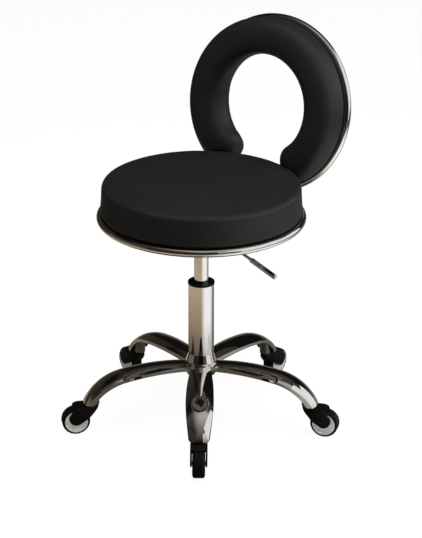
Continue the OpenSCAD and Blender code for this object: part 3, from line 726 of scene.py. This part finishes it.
            # Puckers where the cover is drawn round the board and stapled under it
            if 0 < p.z - self.foot_z < self.pucker_h and r > self.board_r:
                wave = noise.noise(Vector((out.x * 14, out.y * 14, 3.1)))
                p += out * self.pucker * (1 - (p.z - self.foot_z) / self.pucker_h) * wave
            if p.z < self.board_z and self.hem_r + 0.5 * MM < r < self.board_r:
                wave = noise.noise(Vector((out.x * 32, out.y * 32, 0.7)))
                p.z -= self.pleat * abs(wave) * min(1.0, (self.board_r - r) / (4 * MM))
            vertex.co = p
        piece.data.update()

    def pushed_out(self, point: Vector, gap: float) -> Vector:
        """Where a point comes to lie when it may not be inside the seat.

        Args:
            point: A point in the row frame.
            gap: The clearance that stays.

        Returns:
            The same point, or the nearest one outside the seat.
        """
        r = math.hypot(point.x, point.y)
        if r < 0.05:
            return point
        out = Vector((point.x / r, point.y / r, 0))
        if point.z <= self.edge_z:
            t = min(1.0, max(0.0, (point.z - self.foot_z - self.foot_r) / (self.edge_z - self.foot_z)))
            limit = self.radius - self.draw * t + gap
            if point.z < self.foot_z - gap or r >= limit:
                return point
            return Vector((out.x * limit, out.y * limit, point.z))
        if r > self.edge_x:
            arm = Vector((r - self.edge_x, point.z - self.edge_z))
            if arm.length >= self.edge_r + gap:
                return point
            arm = arm.normalized() * (self.edge_r + gap)
            return Vector((out.x * (self.edge_x + arm.x), out.y * (self.edge_x + arm.x), self.edge_z + arm.y))
        limit = self.crown_z(r) + gap
        return point if point.z >= limit else Vector((point.x, point.y, limit))


@dataclass
class BackrestPad:
    """The open ring of padding on the backrest: a rounded front, and a back drawn flat round its board."""

    centre: Vector = field(default_factory=lambda: Vector((0, 244 * MM, 587 * MM)))
    lean: float = 10.0
    mid_r: float = 134 * MM
    half_w: float = 37 * MM
    half_t: float = 36 * MM
    # Depth of the section's middle, behind the ring's plane
    middle_y: float = -31.5 * MM
    # Outline of the cover round the board, from where it leaves the foam, as distance out and depth
    wrap: tuple[tuple[float, float], ...] = (
        (29.0, -6.3), (26.8, -3.8), (25.5, -1.2), (24.7, 1.6), (23.6, 3.7), (21.4, 4.8), (17.5, 5.1),
        (12.0, 5.1), (6.0, 5.1))
    # Depths at which the foam's back is drawn, with the seam between front and back panel among them
    back_steps: tuple[float, ...] = (-31.5, -26.0, -21.0, -17.0, -14.8, -13.6, -12.6, -11.6, -10.4, -8.4)
    seam_y: float = -12.6
    seam_depth: float = 0.6 * MM
    seam_width: float = 1.5 * MM
    # Gathers of the stitches round the whole seam, and the puckers beside it
    gathers: int = 96
    pucker: float = 0.3 * MM
    pucker_w: float = 14 * MM
    gap: float = 117 * MM
    front_power: float = 2.6
    back_power: float = 2.35
    end_power: float = 2.2
    back_end_power: float = 3.1
    end_l: float = 42 * MM
    end_reach: float = 90 * MM
    fuller: float = 4 * MM
    end_draw: float = 5 * MM
    front_sides: int = 24
    steps: int = 112
    end_steps: int = 9
    slack: float = 0.8 * MM
    clearance: float = 0.7 * MM
    filling: Filling = field(default_factory=lambda: Filling(swell=2.0 * MM))

    def to_row(self, point: Vector) -> Vector:
        """Takes a point of the leaning backrest to the row frame."""
        return self.centre + Matrix.Rotation(-math.radians(self.lean), 3, "X") @ point

    def outline(self, near: float) -> list[tuple[float, float]]:
        """Section of the pad, from its outer edge over the back to its inner edge and over the front.

        Args:
            near: How near the place is to the pad's tip, from 0 to 1.

        Returns:
            Distances out from the pad's middle line and from its middle depth.
        """
        outer = []
        for y in self.back_steps:
            s = (y * MM - self.middle_y) / self.half_t
            outer.append((self.half_w * (1 - s ** self.back_power) ** (1 / self.back_power), s * self.half_t))
        outer += [(x * MM, y * MM - self.middle_y) for x, y in self.wrap]
        back = outer + [(0.0, outer[-1][1])] + [(-x, y) for x, y in reversed(outer)]
        front = []
        for i in range(1, self.front_sides):
            a = math.pi * i / self.front_sides
            across = math.copysign(abs(math.cos(a)) ** (2 / self.front_power), math.cos(a))
            deep = math.sin(a) ** (2 / self.front_power)
            front.append((-across * self.half_w, -deep * (self.half_t - self.end_draw * near)))
        fuller = 1 + self.fuller * near / self.half_w
        return [(x * fuller if x < 0 else x, y) for x, y in back + front]

    def stations(self, length: float) -> list[float]:
        """Where the pad's section is drawn, closer together at the rounded ends.

        Args:
            length: Length of the pad's middle line.

        Returns:
            Distances along that line.
        """
        quarter = [math.pi / 2 * i / self.end_steps for i in range(1, self.end_steps + 1)]
        ends = [self.end_l * (1 - math.cos(a)) for a in quarter]
        mids = [self.end_l + (length - 2 * self.end_l) * i / self.steps for i in range(1, self.steps)]
        return ends + mids + [length - d for d in reversed(ends)]

    def cover(self, leather: Material) -> tuple[Piece, set[int]]:
        """Makes the closed cover as it is before the filling presses it out.

        Args:
            leather: Its material.

        Returns:
            The cover, and the numbers of the points that its seam and the board hold.
        """
        tip = math.asin(self.gap / 2 / self.mid_r)
        first = -math.pi / 2 + tip
        sweep = 2 * math.pi - 2 * tip
        length = sweep * self.mid_r
        stations = self.stations(length)
        points: list[Vector] = []
        held: set[int] = set()
        for d in stations:
            away = min(d, length - d)
            q = max(0.0, 1 - away / self.end_reach)
            near = q * q * (3 - 2 * q)
            left = max(0.0, 1 - away / self.end_l)
            share = (1 - left ** self.end_power) ** (1 / self.end_power)
            back_share = (1 - left ** self.back_end_power) ** (1 / self.back_end_power)
            bearing = first + sweep * d / length
            for across, deep in self.outline(near):
                r = self.mid_r + share * across
                y = self.middle_y + deep * (back_share if deep > 0 else share)
                if deep > self.seam_y * MM - self.middle_y - 0.3 * MM:
                    held.add(len(points))
                points.append(Vector((r * math.cos(bearing), y, r * math.sin(bearing))))
        tips = []
        for bearing in (first, first + sweep):
            tips.append(len(points))
            x, z = self.mid_r * math.cos(bearing), self.mid_r * math.sin(bearing)
            points.append(Vector((x, self.middle_y, z)))
        faces: list[tuple[int, ...]] = []
        n, rows = len(self.outline(0.0)), len(stations)
        for j in range(rows - 1):
            for i in range(n):
                k = (i + 1) % n
                faces.append((j * n + i, j * n + k, (j + 1) * n + k, (j + 1) * n + i))
        for i in range(n):
            k = (i + 1) % n
            faces.append((tips[0], k, i))
            faces.append((tips[1], (rows - 1) * n + i, (rows - 1) * n + k))
        return make_piece("backrest_cushion_cover", [self.to_row(p) for p in points], faces, leather), held

    def build(self, leather: Material, seat: SeatCushion) -> None:
        """Makes the filled pad, pressed against the seat at its ends.

        Args:
            leather: The cover's material.
            seat: The seat that the pad's ends touch.
        """
        piece, held = self.cover(leather)
        for vertex in piece.data.vertices:
            if vertex.index not in held:
                vertex.co -= vertex.normal * self.slack
        self.filling.press(piece, sorted(held))
        subdivide(piece, 1)
        self.sew(piece)
        for vertex in piece.data.vertices:
            vertex.co = seat.pushed_out(vertex.co, self.clearance)
        piece.data.update()
        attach(piece, "seat")
        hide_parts("backrest_cushion")
        log.info("backrest pad built, %d faces", len(piece.data.polygons))

    def sew(self, piece: Piece) -> None:
        """Draws in the seam between the pad's front and back panels, with the gather of its stitches.

        Args:
            piece: The cover.
        """
        turn = Matrix.Rotation(math.radians(self.lean), 3, "X")
        normals = [v.normal.copy() for v in piece.data.vertices]
        for vertex, normal in zip(piece.data.vertices, normals):
            p = turn @ (vertex.co - self.centre)
            bearing = math.atan2(p.z, p.x)
            off = p.y - self.seam_y * MM
            groove = math.exp(-(off / self.seam_width) ** 2)
            # Small puckers run in from the seam on the hole's side, where the cloth is eased round
            eased = max(0.0, 1 - abs(off) / self.pucker_w) if math.hypot(p.x, p.z) < self.mid_r else 0.0
            pucker = self.pucker * noise.noise(Vector((bearing * 9, 0.5, 2.2))) * eased
            vertex.co -= normal * (self.seam_depth * gathered(bearing, self.gathers) * groove - pucker)
        piece.data.update()


@dataclass
class Framework:
    """The pieces that keep their CAD meshes: hub, legs, column, rings, lever, fixings and boards."""

    # Polished plate on what shows
    bright: tuple[str, ...] = ("base_hub", "leg_1", "leg_2", "leg_3", "leg_4", "leg_5", "column_tube",
                               "gas_cylinder", "seat_ring", "backrest_ring", "lever_rod", "lever_handle")
    # Zinc on fixings and hidden steel
    plain: tuple[str, ...] = ("caster_sockets", "thrust_bearing", "piston_rod", "retaining_clip",
                              "release_button", "lever_pin", "board_bolts", "tee_nuts", "ring_lugs",
                              "lug_screws", "back_bracket")
    # Powder on the pressed parts under the seat
    coated: tuple[str, ...] = ("seat_plate", "socket_bracket", "socket_bush")
    moulded: tuple[str, ...] = ("column_guide", "piston")
    soft: tuple[str, ...] = ("cylinder_seal", "bump_stop")
    boards: tuple[str, ...] = ("seat_board", "backrest_board")

    def dress(self, chrome: Material, zinc: Material, nylon: Material) -> None:
        """Gives the pieces their finishes.

        Args:
            chrome: For what is polished.
            zinc: For fixings and hidden steel.
            nylon: For the column's guide and the piston.
        """
        powder = PowderCoat().build()
        rubber = MouldedPlastic("nitrile_rubber_moulded", "#0e0e0e", 0.6, 1.52, relief=0.3).build()
        ply = BirchPlywood().build()
        for names, finish in ((self.bright, chrome), (self.plain, zinc), (self.coated, powder),
                              (self.moulded, nylon), (self.soft, rubber), (self.boards, ply)):
            for name in names:
                dress_node(name, finish)
        log.info("framework dressed")


def dress_node(name: str, finish: Material) -> None:
    """Gives a carried-over CAD node its material.

    Args:
        name: Name of the node.
        finish: Its material.
    """
    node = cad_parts[name]
    if not node.data.materials:
        node.data.materials.append(finish)
    for place in node.material_slots:
        place.material = finish


@dataclass
class Casters:
    """Five fork casters: moulded forks, wheels with a pale disc, and soft tyres."""

    count: int = 5
    # Radius on the fork's moulded edges, its steps, and how sharp an edge is that gets it, in degrees
    edge: float = 0.9 * MM
    edge_steps: int = 3
    edge_angle: float = 40.0
    # How sharp an edge is that stays a crease in the shading, in degrees
    crease: float = 35.0

    def build(self, nylon: Material, zinc: Material) -> None:
        """Makes the rounded forks and dresses the wheels.

        Args:
            nylon: For the forks.
            zinc: For stems and axles.
        """
        # Polypropylene discs are pale and waxy
        disc = MouldedPlastic("polypropylene_moulded_grey", "#d4d2ce", 0.32, 1.49).build()
        # The tyre is turned after moulding, so it is matt
        tyre = MouldedPlastic("thermoplastic_rubber_tyre", "#060606", 0.6, 1.5, 1.4, 0.3, 0.15).build()
        for n in range(1, self.count + 1):
            self.fork(n, nylon)
            for part, finish in (("wheel", disc), ("tyre", tyre), ("stem", zinc), ("axle", zinc)):
                dress_node(f"caster_{n}_{part}", finish)
        log.info("%d casters dressed", self.count)

    def fork(self, n: int, nylon: Material) -> None:
        """Makes one fork with the rounded edges of a moulding.

        Args:
            n: The caster's number.
            nylon: Its material.
        """
        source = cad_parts[f"caster_{n}_yoke"]
        graph = bmesh.new()
        graph.from_mesh(source.data)
        bmesh.ops.remove_doubles(graph, verts=graph.verts, dist=0.02 * MM)
        bmesh.ops.dissolve_limit(graph, angle_limit=math.radians(1.0), verts=graph.verts, edges=graph.edges)
        mesh = bpy.data.meshes.new(f"caster_{n}_fork")
        graph.to_mesh(mesh)
        graph.free()
        fork = bpy.data.objects.new(f"caster_{n}_fork", mesh)
        bpy.context.scene.collection.objects.link(fork)
        mesh.materials.clear()
        mesh.materials.append(nylon)
        bevel = fork.modifiers.new("moulded_edges", "BEVEL")
        bevel.width = self.edge
        bevel.segments = self.edge_steps
        bevel.limit_method = "ANGLE"
        bevel.angle_limit = math.radians(self.edge_angle)
        bevel.use_clamp_overlap = True
        apply_modifiers(fork)
        fork.data.polygons.foreach_set("use_smooth", [True] * len(fork.data.polygons))
        fork.data.set_sharp_from_angle(angle=math.radians(self.crease))
        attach(fork, f"caster_{n}")
        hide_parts(f"caster_{n}_yoke")


@dataclass(frozen=True)
class Card:
    """A glowing card that stands round the stool and shows only in reflections, as a painted reflection; its
    bearing and width in degrees from the camera's right.
    """

    name: str
    bearing: float
    width: float
    colour: str
    # What it pales to upwards, between two heights
    upper: str
    pale_from: float = 1.0
    pale_to: float = 3.6
    low: float = 0.01
    high: float = 4.0
    reach: float = 4.6


@dataclass(frozen=True)
class Lamp:
    """A soft box: its place as right, away and up, its width and height, and its power in watts."""

    name: str
    place: tuple[float, float, float]
    width: float
    height: float
    power: float


@dataclass
class Studio:
    """Plain pale floor, soft lights and the camera at the photograph's angle."""

    # Place of the camera, as distance from the column, height and turn about it in degrees
    distance: float = 3.8135
    height: float = 1.9027
    turn: float = 35.8
    # How it is turned there, in radians
    yaw: float = 0.0049
    pitch: float = 0.3944
    roll: float = 0.0041
    focal_px: float = 2144.5
    frame_h: int = 538
    sensor: float = 36.0
    # Signs of a square's corners, in order
    square: tuple[tuple[int, int], ...] = ((-1, -1), (1, -1), (1, 1), (-1, 1))
    floor_size: float = 14.0
    # The floor: how bright its white is, how much of it is that white, its paper's tones and fibre
    white: float = 1.09
    white_share: float = 0.87
    paper: tuple[str, str] = ("#c9c9c8", "#cfcfce")
    fibre_mm: float = 4.0
    # Grey that the world lights with
    world_grey: float = 0.11
    # Height that the lamps point at
    aim_h: float = 0.45
    lamps: tuple[Lamp, ...] = (
        Lamp("key_right", (2.6, -0.6, 1.9), 1.6, 2.0, 62),
        Lamp("fill_left", (-2.6, -1.8, 1.6), 1.6, 1.8, 5),
        Lamp("top", (0.05, -0.4, 2.3), 1.6, 1.6, 60),
    )
    surround_r: float = 4.8
    surround_h: float = 4.0
    # Tones of the ceiling by its distance in front of the column
    ceiling: Stops = (
        (-4.8, "#3a352f"), (-0.7, "#45403a"), (0.0, "#bcb7b1"), (0.9, "#bcb7b1"), (2.6, "#8c8783"),
        (4.8, "#5d5956"))
    # Places to the right of the column between which the ceiling grows from dim to full
    ceiling_dim: float = -2.4
    ceiling_full: float = 0.4
    ceiling_least: float = 0.12
    # Middle of the big soft box's painted reflection, as right, away and up, its width and height, and where
    # it points
    box_place: tuple[float, float, float] = (2.2, -0.8, 1.55)
    box_size: tuple[float, float] = (3.0, 2.7)
    box_aim_h: float = 0.2
    box_colour: str = "#fbfaf8"
    # The floor's tone as metal mirrors it, a glowing disc painted as its reflection: how far it reaches and
    # how bright it is
    tone_r: float = 4.5
    tone_level: float = 1.15
    # Where the floor's white and its grey side lie, in degrees from the camera's right
    bright_turn: float = -30.0
    grey_turn: float = 62.0
    # Painted reflections of the floor by distance from the column: dark nearest it as painted shadow of the
    # stool, and darker far out
    brown_floor_and_shadow: Stops = (
        (0.12, "#3d382f"), (0.32, "#5f564a"), (0.48, "#9a8772"), (0.7, "#b9a98f"), (0.98, "#a39a88"),
        (1.12, "#2a2724"), (1.5, "#1c1a18"), (4.5, "#1c1a18"))
    pale_floor_and_shadow: Stops = (
        (0.12, "#35322c"), (0.24, "#5c5a55"), (0.36, "#d8d7d4"), (0.5, "#ffffff"), (1.0, "#ffffff"),
        (1.5, "#d4d2ce"), (1.9, "#5c5a56"), (4.5, "#4a4845"))
    grey_floor_and_shadow: Stops = (
        (0.12, "#2b2a28"), (0.32, "#5a5855"), (0.6, "#7f7e7b"), (1.0, "#95948f"), (1.3, "#8a8986"),
        (1.65, "#454442"), (4.5, "#3a3937"))
    # Glowing cards that only reflections show: painted reflections of the studio round the stool
    cards: tuple[Card, ...] = (
        Card("back", 71, 66, "#4a4743", "#161412", 0.5, 1.1),
        Card("back_left", 131, 54, "#3b342c", "#2b2723"),
        Card("left", 185, 54, "#6f6a63", "#2b2723", 0.9, 2.0),
        Card("front_left", 232, 40, "#2a2520", "#3d3833"),
        Card("front", 270, 36, "#0d0b0a", "#5d5956", 2.0, 4.0),
        Card("front_right", 300, 24, "#54504a", "#dedbd7"),
        Card("right", 352, 44, "#c9c6c1", "#ffffff", 0.4, 1.2),
    )

    def facing(self, x: float, y: float, z: float) -> Vector:
        """Takes right, away and up as the camera sees them to the row frame."""
        return Matrix.Rotation(math.radians(self.turn), 3, "Z") @ Vector((x, y, z))

    def camera(self) -> None:
        """Makes the camera and sets it as the scene's own."""
        data = bpy.data.cameras.new("camera")
        data.sensor_width = self.sensor
        data.sensor_fit = "AUTO"
        data.lens = self.focal_px * self.sensor / self.frame_h
        data.dof.use_dof = False
        seen = bpy.data.objects.new("camera", data)
        bpy.context.scene.collection.objects.link(seen)
        place = Matrix.Translation(self.facing(0, -self.distance, self.height))
        heading = Matrix.Rotation(math.radians(self.turn) - self.yaw, 4, "Z")
        tilt = Matrix.Rotation(math.pi / 2 - self.pitch, 4, "X")
        seen.matrix_world = place @ heading @ tilt @ Matrix.Rotation(self.roll, 4, "Z")
        bpy.context.scene.camera = seen

    def hang_lamp(self, lamp: Lamp) -> None:
        """Hangs one soft box that points at the seat, and that the metal doesn't mirror.

        Args:
            lamp: What the box is like and where it hangs.
        """
        data = bpy.data.lights.new(lamp.name, "AREA")
        data.shape = "RECTANGLE"
        data.size = lamp.width
        data.size_y = lamp.height
        data.energy = lamp.power
        box = bpy.data.objects.new(lamp.name, data)
        box.visible_glossy = False
        bpy.context.scene.collection.objects.link(box)
        box.location = self.facing(*lamp.place)
        aim = Vector((0, 0, self.aim_h)) - box.location
        box.rotation_euler = aim.to_track_quat("-Z", "Y").to_euler()

    def seen_white(self, tree: Tree) -> Socket:
        """Adds the mask of the rays that see the studio as white.

        Args:
            tree: Node tree that gets the mask.

        Returns:
            Its output, 1 for those rays and 0 for the rest.
        """
        path = add_node(tree, "LightPath")
        mask = path.outputs[Ray.CAMERA.value]
        for ray in (Ray.GLOSSY, Ray.TRANSMISSION):
            mask = add_node(tree, "Math", links={0: mask, 1: path.outputs[ray.value]},
                            operation="MAXIMUM").outputs["Value"]
        return mask

    def floor(self) -> None:
        """Lays a pale floor that shows as white and keeps the stool's soft shadow."""
        material, tree, output = new_tree("floor_pale_seamless_paper")
        place = add_node(tree, "TexCoord").outputs["Object"]
        fibre = add_node(tree, "TexNoise", {"Scale": per_metre(self.fibre_mm), "Detail": 2.0},
                         {"Vector": place})
        tone = add_node(tree, "Mix", {6: linear(self.paper[0]), 7: linear(self.paper[1])},
                        {"Factor": fibre.outputs["Fac"]}, data_type="RGBA")
        paper = add_node(tree, "BsdfDiffuse", links={"Color": tone.outputs[2]})
        white = add_node(tree, "Emission", {"Color": (1, 1, 1, 1), "Strength": self.white})
        share = add_node(tree, "Math", {1: self.white_share}, {0: self.seen_white(tree)},
                         operation="MULTIPLY")
        both = add_node(tree, "MixShader", links={0: share.outputs["Value"], 1: paper.outputs["BSDF"],
                                                  2: white.outputs["Emission"]})
        tree.links.new(both.outputs["Shader"], output.inputs["Surface"])
        corners = [Vector((i, j, 0)) * self.floor_size for i, j in self.square]
        floor = make_piece("floor", corners, [(0, 1, 2, 3)], material, smooth=False)

    def world(self) -> None:
        """Sets a plain white world behind the stool, with a dimmer grey for its light."""
        world = bpy.data.worlds.new("studio")
        world.use_nodes = True
        tree = world.node_tree
        tree.nodes.clear()
        output = add_node(tree, "OutputWorld")
        tone = add_node(tree, "Mix", {6: (self.world_grey,) * 3 + (1,), 7: (1, 1, 1, 1)},
                        {"Factor": self.seen_white(tree)}, data_type="RGBA")
        light = add_node(tree, "Background", {"Strength": 1.0}, {"Color": tone.outputs[2]})
        tree.links.new(light.outputs["Background"], output.inputs["Surface"])
        bpy.context.scene.world = world

    def glowing(self, name: str) -> tuple[Material, Tree, Node]:
        """Starts a material that only glows.

        Args:
            name: Name of the material.

        Returns:
            The material, its node tree and the node of its glow.
        """
        material, tree, output = new_tree(name)
        glow = add_node(tree, "Emission")
        tree.links.new(glow.outputs["Emission"], output.inputs["Surface"])
        return material, tree, glow

    def mirrored(self, material: Material, points: list[Vector], faces: list[tuple[int, ...]]) -> None:
        """Makes a piece that reflections alone show: it isn't in view and throws no light or shadow.

        Args:
            material: Its glow, which it is named for.
            points: Its points in the row frame, in metres.
            faces: Its faces, as numbers of points.
        """
        piece = make_piece(material.name, points, faces, material, smooth=False)
        for ray in ("camera", "diffuse", "transmission", "shadow", "volume_scatter"):
            setattr(piece, f"visible_{ray}", False)

    def toned(self, tree: Tree, place: Socket, stops: Stops) -> Socket:
        """Adds a run of tones along one measure of place.

        Args:
            tree: Node tree that gets it.
            place: Output that holds the measure, in metres.
            stops: Measures with their tones, from least to greatest.

        Returns:
            The output with the tone.
        """
        least, most = stops[0][0], stops[-1][0]
        share = add_node(tree, "MapRange", {"From Min": least, "From Max": most}, {"Value": place})
        ramp = add_node(tree, "ValToRGB", links={"Fac": share.outputs["Result"]})
        while len(ramp.color_ramp.elements) < len(stops):
            ramp.color_ramp.elements.new(0.5)
        for element, (measure, colour) in zip(ramp.color_ramp.elements, stops):
            element.position = (measure - least) / (most - least)
            element.color = linear(colour)
        return ramp.outputs["Color"]

    def stand_card(self, card: Card) -> None:
        """Stands a curved glowing card round the stool, a painted reflection that only its bright metal
        shows.

        Args:
            card: What the card is like and where it stands.
        """
        material, tree, glow = self.glowing(f"card_{card.name}")
        place = add_node(tree, "TexCoord").outputs["Object"]
        height = add_node(tree, "SeparateXYZ", links={"Vector": place})
        ramp = add_node(tree, "MapRange", {"From Min": card.pale_from, "From Max": card.pale_to},
                        {"Value": height.outputs["Z"]}, interpolation_type="SMOOTHSTEP")
        tone = add_node(tree, "Mix", {6: linear(card.colour), 7: linear(card.upper)},
                        {"Factor": ramp.outputs["Result"]}, data_type="RGBA")
        tree.links.new(tone.outputs[2], glow.inputs["Color"])
        steps = max(2, int(card.width / 4))
        points, faces = [], []
        for i in range(steps + 1):
            a = math.radians(card.bearing - card.width / 2 + card.width * i / steps)
            points += [self.facing(card.reach * math.cos(a), card.reach * math.sin(a), z)
                       for z in (card.low, card.high)]
        for i in range(steps):
            faces.append((2 * i, 2 * i + 1, 2 * i + 3, 2 * i + 2))
        self.mirrored(material, points, faces)

    def hang_box(self) -> None:
        """Hangs a glowing sheet as the white front of the big soft box to the right, a painted reflection
        that only the metal shows.
        """
        material, _, glow = self.glowing("painted_reflection_soft_box")
        glow.inputs["Color"].default_value = linear(self.box_colour)
        centre = Vector(self.box_place)
        across = Vector((-centre.y, centre.x, 0)).normalized() * self.box_size[0] / 2
        upright = across.cross(centre - Vector((0, 0, self.box_aim_h))).normalized() * self.box_size[1] / 2
        corners = [self.facing(*(centre + i * across + j * upright)) for i, j in self.square]
        self.mirrored(material, corners, [(0, 1, 2, 3)])

    def hang_ceiling(self) -> None:
        """Hangs a glowing ceiling, a painted reflection that only the metal shows, palest over the stool and
        dim to its left.
        """
        material, tree, glow = self.glowing("painted_reflection_ceiling")
        place = add_node(tree, "TexCoord").outputs["Object"]
        depth = add_node(tree, "VectorMath", {1: tuple(self.facing(0, -1, 0))}, {0: place},
                         operation="DOT_PRODUCT")
        across = add_node(tree, "VectorMath", {1: tuple(self.facing(1, 0, 0))}, {0: place},
                          operation="DOT_PRODUCT")
        tone = self.toned(tree, depth.outputs["Value"], self.ceiling)
        level = add_node(tree, "MapRange",
                         {"From Min": self.ceiling_dim, "From Max": self.ceiling_full,
                          "To Min": self.ceiling_least, "To Max": 1.0},
                         {"Value": across.outputs["Value"]}, interpolation_type="SMOOTHSTEP")
        tree.links.new(tone, glow.inputs["Color"])
        tree.links.new(level.outputs["Result"], glow.inputs["Strength"])
        reach = self.surround_r
        corners = [self.facing(reach * i, reach * j, self.surround_h) for i, j in self.square]
        self.mirrored(material, corners, [(0, 1, 2, 3)])

    def lay_tone(self) -> None:
        """Lays a glowing disc that only metal mirrors, painted as the floor's reflection: brown in front and
        left, white to the right, grey behind, each darkened near the column as painted shadow of the stool.
        """
        material, tree, glow = self.glowing("painted_floor_reflection_and_shadow")
        place = add_node(tree, "TexCoord").outputs["Object"]
        away = add_node(tree, "VectorMath", links={0: place}, operation="LENGTH").outputs["Value"]
        unit = add_node(tree, "VectorMath", links={0: place}, operation="NORMALIZE")
        # Tones of the painted reflection, with painted shadow of the stool near the column
        tone = self.toned(tree, away, self.brown_floor_and_shadow)
        # Each side's tone starts at the first share of its direction and is full at the second
        for turn, least, most, stops in ((self.grey_turn, 0.2, 0.75, self.grey_floor_and_shadow),
                                         (self.bright_turn, 0.45, 0.97, self.pale_floor_and_shadow)):
            side = self.facing(math.cos(math.radians(turn)), math.sin(math.radians(turn)), 0)
            facing = add_node(tree, "VectorMath", {1: tuple(side)}, {0: unit.outputs["Vector"]},
                              operation="DOT_PRODUCT")
            share = add_node(tree, "MapRange", {"From Min": least, "From Max": most},
                             {"Value": facing.outputs["Value"]}, interpolation_type="SMOOTHSTEP")
            tone = add_node(tree, "Mix", links={"Factor": share.outputs["Result"], 6: tone,
                            7: self.toned(tree, away, stops)}, data_type="RGBA").outputs[2]
        tree.links.new(tone, glow.inputs["Color"])
        glow.inputs["Strength"].default_value = self.tone_level
        points = [Vector((self.tone_r * math.cos(a), self.tone_r * math.sin(a), 1 * MM))
                  for a in (math.radians(5 * i) for i in range(72))]
        self.mirrored(material, points, [tuple(range(len(points)))])

    def build(self) -> None:
        """Makes the whole studio."""
        self.camera()
        self.world()
        self.floor()
        for lamp in self.lamps:
            self.hang_lamp(lamp)
        for card in self.cards:
            self.stand_card(card)
        self.hang_box()
        self.hang_ceiling()
        self.lay_tone()
        log.info("studio built")


def main() -> None:
    """Builds the scene, piece by piece."""
    logging.basicConfig(level=logging.INFO, format="%(name)s: %(message)s")
    bpy.context.scene.view_settings.view_transform = "Standard"
    Studio().build()
    leather = CoatedFabric().build()
    seat = SeatCushion()
    seat.build(leather, SpunbondCloth().build())
    BackrestPad().build(leather, seat)
    zinc = ZincPlate().build()
    # Glass-filled nylon has a dry, slightly grey gloss
    nylon = MouldedPlastic("glass_filled_nylon_moulded", "#060606", 0.45, 1.53, gloss=0.2).build()
    Framework().dress(ChromePlate().build(), zinc, nylon)
    Casters().build(nylon, zinc)


if __name__ == "__main__":
    main()
